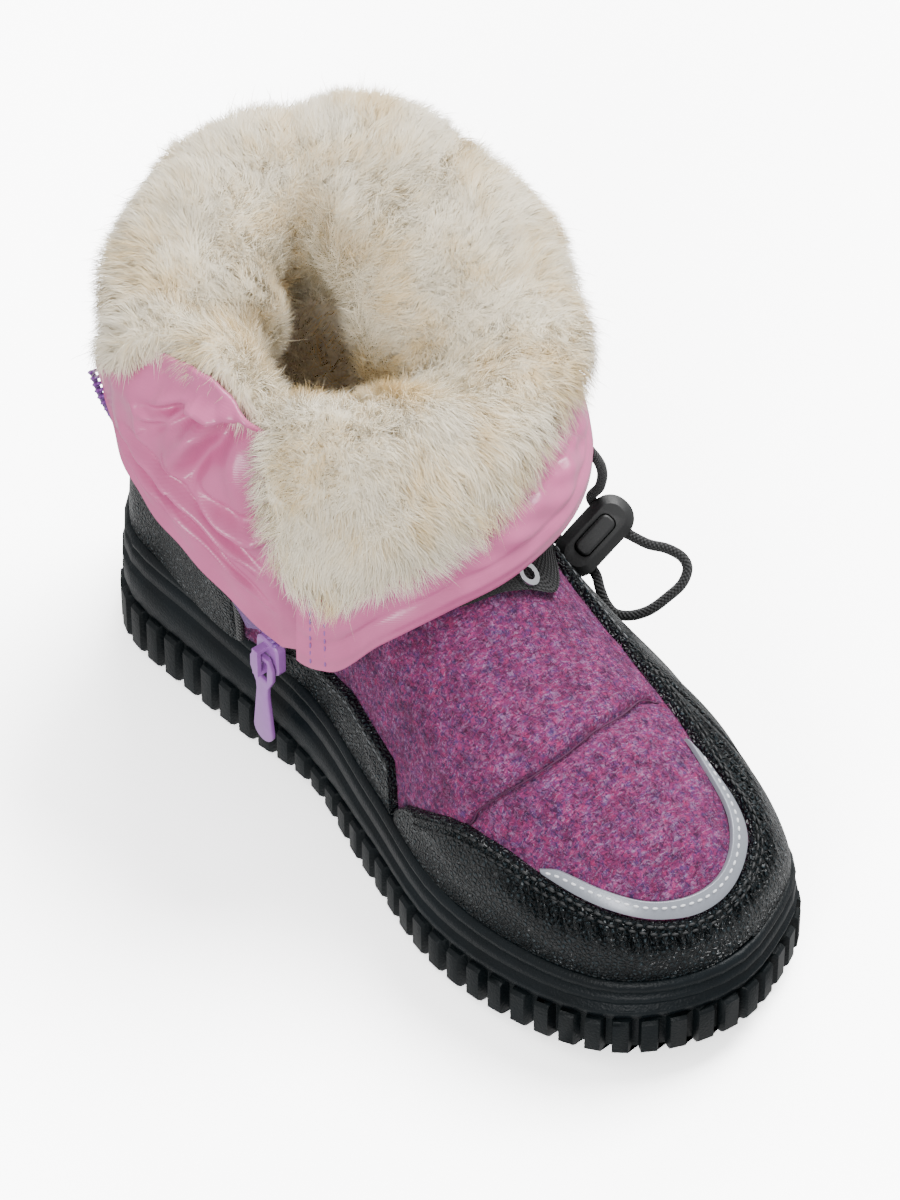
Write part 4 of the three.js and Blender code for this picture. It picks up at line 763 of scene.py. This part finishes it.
def panel(name, rows, span, thick, material, lift=SEAT, steps=160, levels=14, bulge=0.0, extra=None,
          replaces=None, ribs=None):
    """A panel between two heights, with rounded edges; extra adds relief over share and level."""
    ends = np.array([0, 0.0012, 0.004, 0.008])
    u = np.unique(np.concatenate([ends, np.linspace(0.012, 0.988, steps), 1 - ends]))
    tips = np.array([0, 0.006, 0.02, 0.045])
    v = np.unique(np.concatenate([[0.0], np.linspace(0.06, 0.93, levels), 1 - tips]))
    share = lerp(span[0], span[1], u)
    U, V = np.meshgrid(u, v, indexing="ij")
    S = np.repeat(share[:, None], len(v), 1)
    H = lerp(read(rows, "low", share)[:, None], read(rows, "high", share)[:, None], V)
    rise_v = np.interp(V, [0, 1 - 0.045, 1 - 0.02, 1 - 0.006, 1], [1, 1, 0.9, 0.55, -0.25])
    rise_u = np.interp(np.minimum(U, 1 - U), [0, 0.0012, 0.004, 0.008], [-0.25, 0.55, 0.9, 1])
    off = lift + thick * np.minimum(rise_u, rise_v) + bulge * np.sin(np.pi * V) ** 0.7 * np.clip(rise_u, 0, 1)
    if extra is not None:
        off = off + extra(S, H, V) * np.clip(np.minimum(rise_u, rise_v), 0, 1)
    if ribs is not None:
        off = off + ribs(S, V)
    grid = off_skin(S, H, off)
    run_u = np.concatenate([[0], np.cumsum(np.linalg.norm(np.diff(grid[:, len(v) // 2], axis=0), axis=1))])
    run_v = np.concatenate([[0], np.cumsum(np.linalg.norm(np.diff(grid[len(u) // 2], axis=0), axis=1))])
    uv = np.stack(np.meshgrid(run_u, run_v, indexing="ij"), -1)
    piece = grid_piece(name, grid, material, uv=uv)
    if replaces:
        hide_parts(replaces)
    return piece


def guard_relief(S, H, V):
    """Puckers at the toe where the guard is drawn over the last, in a band under the stitches, and a soft wave over
    the whole guard.
    """
    toe = ease((S - 0.36) / 0.06) * ease((0.60 - S) / 0.03)
    pucker = (0.5 * np.sin(S * 1150 + 4 * np.sin(S * 95)) + 0.3 * np.sin(S * 540 + 5.2 * V)) * toe
    wave = 0.35 * np.sin(S * 88 + 4 * V) * np.sin(S * 41 + 1)
    return pucker * np.exp(-(((V - 0.7) / 0.13) ** 2)) + wave * np.sin(np.pi * V)


def quarter_relief(S, H, V):
    return 0.25 * np.sin(S * 160 + 5 * V) * np.sin(np.pi * V) + 0.15 * np.sin(S * 61 - 7 * V)


guard = panel("toe_guard", GUARD, (0.29, 0.6), LEATHER, leather, steps=300, levels=26, bulge=0.35,
              extra=guard_relief, replaces="mudguard")
counter = panel("back_counter", COUNTER, (-0.165, 0.168), LEATHER, leather, steps=160, levels=24, bulge=0.5,
                extra=quarter_relief, replaces="heel_counter")
inner_quarter = panel("inner_quarter", MEDIAL, (0.186, 0.287), LEATHER, leather, steps=90, levels=14, bulge=0.3,
                      extra=quarter_relief, replaces="quarter_medial")
outer_quarter = panel("outer_quarter", LATERAL, (0.603, 0.832), LEATHER, leather, steps=120, levels=20, bulge=0.4,
                      extra=quarter_relief, replaces="quarter_lateral")
strip = panel("toe_strip", STRIP, (0.404, 0.549), 0.9, reflective, steps=200, levels=6, bulge=0.15,
              replaces="reflective_strip")
band = panel("instep_webbing", BAND, (0.43, 0.62), BAND_THICK, webbing, lift=BAND_LIFT, steps=420, levels=8,
             ribs=lambda S, V: 0.16 * np.sin(S * 560 * math.pi), replaces="ankle_webbing")

# Shaft of coated nylon: outer face from under the pile to the hem, a round hem, and the inside

turns = np.linspace(315, 596.25, 330)
rows_at = [nylon_rows(turn) for turn in turns]
ends = np.array([fur_end(r, t) for r, t in zip(rows_at, turns)])
drop = np.linspace(0, 1, 34)
shaft_grid = []
for turn, rows, end in zip(turns, rows_at, ends):
    t = lerp(end - 0.1, 1, drop)
    arc = np.radians(turn - 315) * 62
    down = drop * 20
    edge = np.clip((turn - 315) / 2.5, 0, 1)
    wave = (0.9 * np.sin(arc * 0.11 + 1.1) * np.sin(np.pi * drop)
            + 0.4 * np.sin(arc * 0.31 + down * 0.35) * np.sin(np.pi * drop) ** 2
            + 0.5 * np.sin(arc * 0.9 + down * 0.2) * np.exp(-((drop - 0.3) / 0.14) ** 2)
            + 0.35 * np.sin(arc * 0.47 - down * 0.9) * np.sin(np.pi * drop))
    channel = 0.55 * np.exp(-(((drop - 0.88) / 0.07) ** 2)) - 0.45 * np.exp(-(((drop - 0.72) / 0.035) ** 2)) * edge
    seam_dip = -0.9 * np.exp(-(((drop - 0.32) / 0.07) ** 2))
    off = NYLON / 2 + wave * edge * (1 - 0.6 * ease((drop - 0.6) / 0.2)) + channel + seam_dip
    r, z = beside(rows, t, off)
    outer_face = np.stack([r, z], -1)
    hem_angle = np.linspace(0.25, 1, 6) * math.pi
    d = unit(spline(rows, np.array([1.0])) - spline(rows, np.array([0.98])))[0]
    n = np.array((-d[1], d[0]))
    centre = spline(rows, np.array([1.0]))[0]
    hem = centre + (n * np.cos(hem_angle)[:, None] + d * np.sin(hem_angle)[:, None] * 1.1) * (NYLON / 2 + 0.2)
    t_in = np.array([0.97, 0.9, 0.8, 0.65, 0.5, 0.35, 0.2, 0.1, 0.0])
    ri, zi = beside(rows, t_in, -NYLON / 2)
    line = np.concatenate([outer_face, hem, np.stack([ri, zi], -1)])
    shaft_grid.append(on_cuff(turn, line[:, 0], line[:, 1]))
shaft_grid = np.array(shaft_grid)
shaft = grid_piece("nylon_shaft", shaft_grid, nylon, flip=True)
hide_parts("shaft")

# Gusset between the halves of the zip, gathered in creases that run from the dip at its top

gt = np.linspace(239, 314, 190)
gl = np.linspace(-0.06, 1.12, 90)
T, V = np.meshgrid(gt, gl, indexing="ij")
arc = (T - 240) * 0.87
rise = V * (read(GUSSET, "top", T) - read(GUSSET, "base", T))
r = lerp(read(GUSSET, "foot", T), read(GUSSET, "head", T), V) + 2.5 * np.sin(np.pi * np.clip(V, 0, 1))
z = lerp(read(GUSSET, "base", T), read(GUSSET, "top", T), V)
span = read(GUSSET, "top", T) - read(GUSSET, "base", T)


def at_gusset(*marks):
    """Points (turn, level) as lengths along and up the gusset."""
    return [((turn - 240) * 0.87, level * float(read(GUSSET, "top", turn) - read(GUSSET, "base", turn)))
            for turn, level in marks]


creases = (
    fold(arc, rise, at_gusset((304, 1.1), (297, 1.02), (290, 0.9), (284, 0.86), (278, 0.83), (271, 0.73), (266, 0.54)),
         4.0, 1.7, 0.8)
    + fold(arc, rise, at_gusset((292, 0.95), (289, 0.81), (285, 0.68), (282, 0.51), (279, 0.36)), 4.2, 2.3, 0.7)
    + fold(arc, rise, at_gusset((262, 0.7), (266, 0.72), (270, 0.78), (274, 0.87), (278, 0.97)), 2.4, 1.0, 0.9)
    + fold(arc, rise, at_gusset((284, 0.44), (292, 0.46), (297, 0.5), (302, 0.6)), 2.6, 1.5, 0.8)
    + fold(arc, rise, at_gusset((256, 0.1), (266, 0.18), (280, 0.2), (292, 0.2), (306, 0.19)), 2.0, 0.8, 0.9)
    + fold(arc, rise, at_gusset((258, 0.3), (268, 0.36), (284, 0.35), (296, 0.34), (306, 0.4)), 2.2, 1.1, 0.8)
    + fold(arc, rise, at_gusset((299, 0.5), (303, 0.62), (306, 0.8)), 2.2, 1.2, 0.7)
    + 3.0 * np.exp(-(((T - 255) / 9) ** 2) - ((V - 0.76) / 0.22) ** 2)
    + 1.6 * np.exp(-(((T - 297) / 6) ** 2) - ((V - 0.76) / 0.14) ** 2))
folded = r + NYLON / 2 + creases + 0.25 * np.sin(arc * 0.5 + rise * 0.3)
gusset_out = on_cuff(T, folded, z)
gusset_low = on_cuff(T[:, :1], folded[:, :1] + np.array([[-2.2, -1.2, -0.3]]),
                     z[:, :1] + np.array([[0.6, -0.5, -0.45]]))
gusset_top = on_cuff(T[:, -1:], folded[:, -1:] + np.array([[-0.6, -1.4, -2.0]]),
                     z[:, -1:] + np.array([[0.35, 0.1, -6.0]]))
gusset = grid_piece("nylon_gusset", np.concatenate([gusset_low, gusset_out, gusset_top], axis=1), nylon)
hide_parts("gusset")

# Pile on the cuff

FUR_TURNS, FUR_STEPS = 360, 70
fur_turns = np.arange(FUR_TURNS) * 360 / FUR_TURNS
fur_rows = [nylon_rows(t) for t in fur_turns]
fur_ends = np.array([fur_end(r, t, 3.5 - 9 * math.exp(-((t - 244) / 13) ** 2)) for r, t in zip(fur_rows, fur_turns)])
BULGE = table("turn depth", [(0, 4), (30, 10.5), (60, 15), (90, 17), (120, 15), (145, 6), (165, 5), (200, 10),
                            (240, 7), (270, 3), (300, 1), (330, 1)])
PARTINGS = table("turn width depth", [(150, 9, 4.5), (205, 10, 3), (300, 8, 3), (40, 10, 2.5), (100, 10, 2)])


def tousle(turn, t):
    """Lumps of the pile, in millimetres."""
    a = np.radians(turn)
    broad = np.sin(5 * a + 7 * t) + np.sin(9 * a - 11 * t + 1)
    fine = np.sin(21 * a + 17 * t) * np.cos(13 * a - 23 * t)
    small = np.sin(37 * a + 9 * np.sin(19 * t)) * np.sin(41 * t + 5 * np.sin(7 * a))
    return 1.2 * broad + 1.2 * fine + 0.8 * small


def parting(turn):
    drop = np.zeros(np.shape(turn))
    for centre, width, depth in zip(*PARTINGS.values()):
        gap = (turn - centre + 180) % 360 - 180
        drop = drop + depth * np.exp(-((gap / width) ** 2))
    return drop


def fur_grid(share_of_depth, add_off=0.0):
    rows = []
    for turn, path, end in zip(fur_turns, fur_rows, fur_ends):
        t = lerp(0.02, end, np.linspace(0, 1, FUR_STEPS))
        inside = float(read(CUFF, "pile", turn, 360))
        depth = lerp(inside, FUR, ease((t - 0.1) / 0.3)) + tousle(turn, t) - parting(turn) * np.exp(
            -(((t - 0.42) / 0.22) ** 2))
        depth = depth + float(read(BULGE, "depth", turn, 360)) / share_of_depth * np.exp(
            -(((t - 0.2) / 0.13) ** 2))
        left = (FUR_STEPS - 1 - np.arange(FUR_STEPS)) / 8
        edge = np.minimum(1, 0.25 + 0.75 * np.sin(np.pi / 2 * np.minimum(1, left)))
        r, z = beside(path, t, NYLON / 2 + 0.3 + depth * share_of_depth * edge + add_off)
        rows.append(on_cuff(turn, r, z))
    return np.array(rows)


base = fur_grid(0.62)
fur_base = grid_piece("pile_base", base, backing, around=True, flip=True)
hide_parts("fur_lining")


def strands(name, grid, around, out_sign, count, length, width, material, lean, spread, clumps, pull,
            pick=None, curl=0.6, steps=(0, 0.38, 0.72, 1.0), soft=0.85, ruffle=0.9):
    """Strands rooted on a grid of points. They stand out, lean along the grid's second way and gather in clumps."""
    g = np.concatenate([grid, grid[:1]]) if around else grid
    du, dv = np.gradient(g, axis=0), np.gradient(g, axis=1)
    normal = unit(np.cross(du, dv)) * out_sign
    along_v = unit(dv)
    cell = (g[:-1, :-1] + g[1:, 1:]) / 2
    area = np.linalg.norm(np.cross(g[1:, :-1] - g[:-1, :-1], g[:-1, 1:] - g[:-1, :-1]), axis=-1)
    weight = area * (1 if pick is None else pick(*np.meshgrid(
        np.linspace(0, 1, area.shape[0]), np.linspace(0, 1, area.shape[1]), indexing="ij")))
    chance = (weight / weight.sum()).ravel()

    def sample(number):
        at = rng.choice(len(chance), number, p=chance)
        i, j = at // area.shape[1], at % area.shape[1]
        a, b = rng.random(number)[:, None], rng.random(number)[:, None]

        def mixed(f):
            return ((f[i, j] * (1 - a) + f[i + 1, j] * a) * (1 - b)
                    + (f[i, j + 1] * (1 - a) + f[i + 1, j + 1] * a) * b)

        return (mixed(g), unit(mixed(normal)), unit(mixed(along_v)),
                (i + a[:, 0]) / area.shape[0], (j + b[:, 0]) / area.shape[1])

    centre, c_out, c_on, cu, cv = sample(clumps)
    root, out, on, u, v = sample(count)
    near = kdtree.KDTree(clumps)
    for k, p in enumerate(centre):
        near.insert(p, k)
    near.balance()
    own = np.array([near.find(p)[1] for p in root])

    def flow(place, u, v, out, on):
        """Each strand leans along the pile, with soft swirls a few millimetres and a few centimetres wide."""
        swirl = np.array([[*(1.3 * noise.noise_vector(Vector(p) * 0.055) + 0.8 * noise.noise_vector(Vector(p) * 0.16))]
                          for p in place])
        drift = rng.normal(0, spread, (len(place), 3))
        return unit(out + on * lean(u, v)[:, None] + ruffle * swirl + drift)

    c_dir = flow(centre, cu, cv, c_out, c_on)
    size = length(u, v) * rng.uniform(0.75, 1.12, count)
    first = unit(flow(root, u, v, out, on) + 0.6 * c_dir[own])
    c_tip = centre + c_dir * (length(cu, cv) * rng.uniform(0.85, 1.15, clumps))[:, None]
    tip = root + first * size[:, None] + on * (curl * size * 0.35)[:, None]
    tip = lerp(tip, c_tip[own] + rng.normal(0, 0.35, (count, 3)), pull * rng.uniform(0.5, 1, count)[:, None])
    mid = root + (out * 0.55 + first * 0.45) * (size * 0.42)[:, None]
    steps = np.array(steps)
    curve = [(1 - steps) ** 2, 2 * steps * (1 - steps), steps**2]
    bend = 2 * mid - (root + tip) / 2
    line = sum(p[:, None] * c[None, :, None] for p, c in zip((root, bend, tip), curve))
    flat = unit(np.cross(unit(tip - root), out + rng.normal(0, 0.45, (count, 3))))
    half = width / 2 * rng.uniform(0.7, 1.3, count)[:, None]
    rungs = len(steps) - 1
    taper = 1 - 0.5 * steps[:-1] ** 1.5
    pairs = [line[:, k] + flat * half * w * s for k, w in enumerate(taper) for s in (-1, 1)]
    points = np.stack([*pairs, line[:, -1]], 1)
    each = 2 * rungs + 1
    order = [tri for k in range(rungs - 1) for tri in ((2 * k, 2 * k + 1, 2 * k + 3), (2 * k, 2 * k + 3, 2 * k + 2))]
    order.append((2 * rungs - 2, 2 * rungs - 1, 2 * rungs))
    order = np.array(order)
    facing = np.cross(points[:, 1] - points[:, 0], points[:, -1] - points[:, 0])
    turned = (facing * out).sum(1) < 0
    order = np.where(turned[:, None, None], order[None, :, ::-1], order[None])
    faces = (np.arange(count)[:, None, None] * each + order).reshape(-1, 3)
    along_uv = np.concatenate([np.repeat(steps[:-1], 2), [1.0]])
    patch = np.array([noise.noise(Vector(q) * 0.09) + 0.6 * noise.noise(Vector(q) * 0.3) for q in root])
    hue = np.clip(0.5 + 0.55 * patch + rng.normal(0, 0.16, count), 0, 1)
    uv = np.stack([np.repeat(hue, each), np.tile(along_uv, count)], -1)[faces.ravel()]
    piece = mesh_piece(name, points.reshape(-1, 3), faces, material, uv)
    own_normal = unit(facing) * np.where(turned, -1, 1)[:, None]
    lit = unit(own_normal * (1 - soft) + out * soft)
    piece.data.normals_split_custom_set_from_vertices(np.repeat(lit, each, axis=0))
    return piece


short = (0, 0.5, 1.0)
strands("pile_fold", base[:, 14:46], True, -1, 65000, lambda u, v: 4.9 + 0 * u, 0.14, pile,
        lambda u, v: 0.2 + 0.35 * v, 0.6, 3000, 0.2, steps=short)
strands("pile_skirt", base[:, 40:], True, -1, 65000, lambda u, v: 5.0 + 1.6 * ease((v - 0.7) / 0.3), 0.14, pile,
        lambda u, v: 0.45 + 0.5 * v, 0.52, 3000, 0.25, steps=short)
strands("pile_inside", base[:, :22], True, -1, 50000, lambda u, v: 5.0 + 0 * u, 0.17, pile,
        lambda u, v: 0.3 + 0 * u, 0.6, 2000, 0.2, steps=short, soft=0.7)
strands("pile_wisps", base[:, 12:], True, -1, 1600, lambda u, v: 8.5 + 0 * u, 0.1, pile,
        lambda u, v: 0.3 + 0.3 * v, 0.8, 300, 0.0)
strands("pile_boot", lining_grid[:, 4:], True, -1, 14000, lambda u, v: 4.6 + 0 * u, 0.26, pile,
        lambda u, v: 0.3 + 0 * u, 0.5, 600, 0.2, steps=short, soft=0.4)

# Loose fibres on the felt
strands("felt_nap", outer[:, 3:], True, 1, 32000, lambda u, v: 1.3 + 0 * u, 0.075, fibre,
        lambda u, v: 0.15 + 0 * u, 1.6, 2000, 0.0, curl=0.1, steps=short)


# Stitches and zip teeth: beads set along a line at an even pitch

def bead_tree():
    tree = bpy.data.node_groups.new("beads_on_line", "GeometryNodeTree")
    face = tree.interface
    face.new_socket("Geometry", in_out="INPUT", socket_type="NodeSocketGeometry")
    face.new_socket("Pitch", in_out="INPUT", socket_type="NodeSocketFloat")
    face.new_socket("Bead", in_out="INPUT", socket_type="NodeSocketVector")
    face.new_socket("Material", in_out="INPUT", socket_type="NodeSocketMaterial")
    face.new_socket("Geometry", in_out="OUTPUT", socket_type="NodeSocketGeometry")
    given = add(tree, "NodeGroupInput")
    spaced = add(tree, "GeometryNodeResampleCurve", {"Curve": given.outputs["Geometry"],
                                                     "Length": given.outputs["Pitch"]}, mode="LENGTH")
    way = add(tree, "GeometryNodeInputTangent")
    turned = add(tree, "FunctionNodeAlignRotationToVector", {"Vector": way.outputs[0]}, axis="X")
    bead = add(tree, "GeometryNodeMeshUVSphere", {"Segments": 8, "Rings": 5, "Radius": 0.5})
    rounded = add(tree, "GeometryNodeSetShadeSmooth", {"Geometry": bead.outputs[0]})
    placed = add(tree, "GeometryNodeInstanceOnPoints", {
        "Points": spaced.outputs[0], "Instance": rounded.outputs[0],
        "Rotation": turned.outputs[0], "Scale": given.outputs["Bead"]})
    real = add(tree, "GeometryNodeRealizeInstances", {"Geometry": placed.outputs[0]})
    coloured = add(tree, "GeometryNodeSetMaterial", {"Geometry": real.outputs[0],
                                                     "Material": given.outputs["Material"]})
    add(tree, "NodeGroupOutput", {"Geometry": coloured.outputs[0]})
    return tree


beads_on_line = bead_tree()


def beads(name, lines, pitch, size, material):
    """Beads of a size (along, across, up) on each of several lines of points, in millimetres."""
    curve = bpy.data.curves.new(name + "_line", "CURVE")
    curve.dimensions = "3D"
    for points in lines:
        run = curve.splines.new("POLY")
        run.points.add(len(points) - 1)
        flat = np.concatenate([to_row(points), np.ones((len(points), 1))], 1)
        run.points.foreach_set("co", flat.astype(np.float32).ravel())
    guide = bpy.data.objects.new(name + "_line", curve)
    bpy.context.scene.collection.objects.link(guide)
    beads_mod = guide.modifiers.new("beads", "NODES")
    beads_mod.node_group = beads_on_line
    values = {"Pitch": pitch * 0.001, "Bead": [s * 0.001 for s in size], "Material": material}
    for item in beads_on_line.interface.items_tree:
        if item.in_out == "INPUT" and item.name in values:
            beads_mod[item.identifier] = values[item.name]
    guide.update_tag()
    evaluated = guide.evaluated_get(bpy.context.evaluated_depsgraph_get())
    mesh = bpy.data.meshes.new_from_object(evaluated)
    bpy.data.objects.remove(guide)
    mesh.name = name
    piece = show(name, mesh, None)
    return piece


def on_panel(rows, first, last, below, off, number=240):
    """A line along a panel, a given height under its upper edge."""
    s = np.linspace(first, last, number)
    return off_skin(s, read(rows, "high", s) - below, off)


guard_off = SEAT + LEATHER + 0.25
beads("guard_stitches", [
    on_panel(GUARD, 0.315, 0.41, 1.1, guard_off), on_panel(GUARD, 0.315, 0.41, 2.9, guard_off),
    on_panel(GUARD, 0.41, 0.553, 0.9, guard_off), on_panel(GUARD, 0.41, 0.553, 2.4, guard_off),
    on_panel(GUARD, 0.553, 0.598, 1.3, guard_off), on_panel(GUARD, 0.553, 0.598, 3.0, guard_off)],
    2.4, (2.0, 0.8, 0.62), black_thread)
beads("quarter_stitches", [
    on_panel(MEDIAL, 0.19, 0.285, 1.6, guard_off), on_panel(COUNTER, -0.15, 0.16, 2.0, guard_off),
    on_panel(LATERAL, 0.606, 0.828, 1.6, guard_off)], 2.5, (1.9, 0.5, 0.42), grey_thread)
mid = np.linspace(0.41, 0.546, 240)
beads("strip_stitches", [off_skin(mid, lerp(read(STRIP, "low", mid), read(STRIP, "high", mid), 0.64),
                                  SEAT + 0.9 + 0.25)], 2.1, (1.4, 0.62, 0.55), pale_thread)

# Folded binding down the counter's front end, and the quarter's point beside the slider
end_run = np.concatenate([np.stack([np.linspace(0.06, 0.166, 60), read(COUNTER, "high", np.linspace(0.06, 0.166, 60)) - 0.3], -1),
                          np.stack([np.full(30, 0.168), np.linspace(25.2, 0.6, 30)], -1)])
binding = tube("counter_binding", even_path(off_skin(end_run[:, 0], end_run[:, 1], SEAT + 1.1), 1.0), 1.9, webbing, 8)
point = table("share low high", [(0.181, 9.5, 9.8), (0.19, 6, 13.5), (0.2, 0.4, 13.6), (0.215, 0.4, 13.8)])
tip = panel("quarter_point", point, (0.181, 0.215), 1.0, leather, lift=SEAT + 0.6, steps=40, levels=10)
beads("point_stitches", [on_panel(point, 0.184, 0.214, 1.3, SEAT + 1.9)], 2.2, (1.6, 0.5, 0.42), black_thread)

# Zip: two tapes with their coils, the slider with its pull, and the flap's own stitched edge

ZIP_REAR = np.array([(81, -34.2, 48.4), (80.3, -36.5, 56), (77, -39.5, 65), (69, -42, 75), (59, -44, 84),
                     (48.5, -45.5, 92), (39, -46, 99), (34.5, -45, 102.5)], float)
ZIP_FRONT = np.array([(87.2, -34.2, 48.4), (86, -36.5, 57), (87, -38.5, 66), (91, -38, 74)], float)


def zip_half(name, rows, side, node):
    line = even_path(spline(rows, np.linspace(0, 1, 300)), count=70)
    d = unit(np.gradient(line, axis=0))
    n = unit((line - (CUFF_X, 0, 0)) * (1, 1, 0))
    w = unit(np.cross(d, n)) * side
    n = np.cross(w, d) * side
    steps = np.array([0.0, 0.0, 1.0, 2.0, 3.0, 4.0, 4.0])
    lift = np.array([-0.5, 0.5, 0.55, 0.5, 0.45, 0.45, -0.5])
    grid = line[:, None] + w[:, None] * steps[None, :, None] + n[:, None] * lift[None, :, None]
    run = np.linspace(0, np.linalg.norm(np.diff(line, axis=0), axis=1).sum(), len(line))
    uv = np.stack(np.meshgrid(run, np.concatenate([[0, 0.5], steps[2:]]), indexing="ij"), -1)
    tape = grid_piece(name, grid, zip_tape, flip=side > 0, uv=uv)
    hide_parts(node)
    return [line - w * 0.9 + n * 0.55, line - w * 0.9 - n * 0.45, line + w * 0.5 + n * 0.75]


coils = zip_half("zip_rear_tape", ZIP_REAR, -1, "zip_rear") + zip_half("zip_front_tape", ZIP_FRONT, 1, "zip_front")
beads("zip_coils", [c for k, c in enumerate(coils) if k % 3 != 2], 1.5, (0.95, 2.0, 1.3), zip_teeth)
beads("zip_tape_stitches", [coils[2], coils[5]], 1.5, (1.1, 0.45, 0.4), violet_thread)
slider = dressed("zip_slider", painted, 0.35, 40, 3)
pull = dressed("zip_pull", painted, 0.4, 40, 3)

# Stitched front edge of the flap
edge_rows = [nylon_rows(t) for t in (318.0, 321.0)]
flap_lines = []
for turn, rows in zip((318.0, 321.0), edge_rows):
    t = np.linspace(fur_end(rows, turn) - 0.04, 0.985, 120)
    r, z = beside(rows, t, NYLON / 2 + 0.45)
    flap_lines.append(on_cuff(turn, r, z))
beads("flap_stitches", flap_lines, 2.2, (1.7, 0.5, 0.42), violet_thread)

# Eyelet and toggle

eyelet = dressed("eyelet", plated, 0.25, 30, 3)
toggle_body = dressed("toggle_body", toggle, 0.3, 30, 2)
toggle_button = dressed("toggle_button", toggle, 0.35, 30, 3)

# Floor and light

floor_mesh = bpy.data.meshes.new("floor")
floor_mesh.from_pydata([(-3, -3, 0), (3, -3, 0), (3, 3, 0), (-3, 3, 0)], [], [(0, 1, 2, 3)])
floor = bpy.data.objects.new("floor", floor_mesh)
bpy.context.scene.collection.objects.link(floor)
paper, tree = new_material("backdrop_paper")
close(tree, add(tree, "ShaderNodeBsdfPrincipled", {"Base Color": (3.4, 3.4, 3.4, 1.0), "Roughness": 0.9,
                                                   "Specular IOR Level": 0.1}))
floor_mesh.materials.append(paper)
floor.visible_diffuse = floor.visible_glossy = False


def softbox(name, place, size, power, aim=(0.05, 0, 0.05)):
    lamp = bpy.data.lights.new(name, "AREA")
    lamp.shape, lamp.size, lamp.size_y, lamp.energy = "RECTANGLE", size, size, power
    box = bpy.data.objects.new(name, lamp)
    bpy.context.scene.collection.objects.link(box)
    box.location = place
    box.rotation_mode = "QUATERNION"
    box.rotation_quaternion = (Vector(aim) - Vector(place)).to_track_quat("-Z", "Y")


softbox("softbox_front", (0.9, -1.3, 0.9), 0.7, 24)
softbox("softbox_back", (-0.9, 1.1, 1.0), 0.8, 16)
key = bpy.data.lights.new("overhead_silk", "SUN")
key.energy, key.angle = 4.9, 0.55
silk = bpy.data.objects.new("overhead_silk", key)
bpy.context.scene.collection.objects.link(silk)
silk.rotation_mode = "QUATERNION"
silk.rotation_quaternion = Vector((0.05, -0.6, -1.0)).to_track_quat("-Z", "Y")
world = bpy.data.worlds.new("studio")
bpy.context.scene.world = world
world.use_nodes = True
world.node_tree.nodes["Background"].inputs[0].default_value = (1, 1, 1, 1)
world.node_tree.nodes["Background"].inputs[1].default_value = 0.98
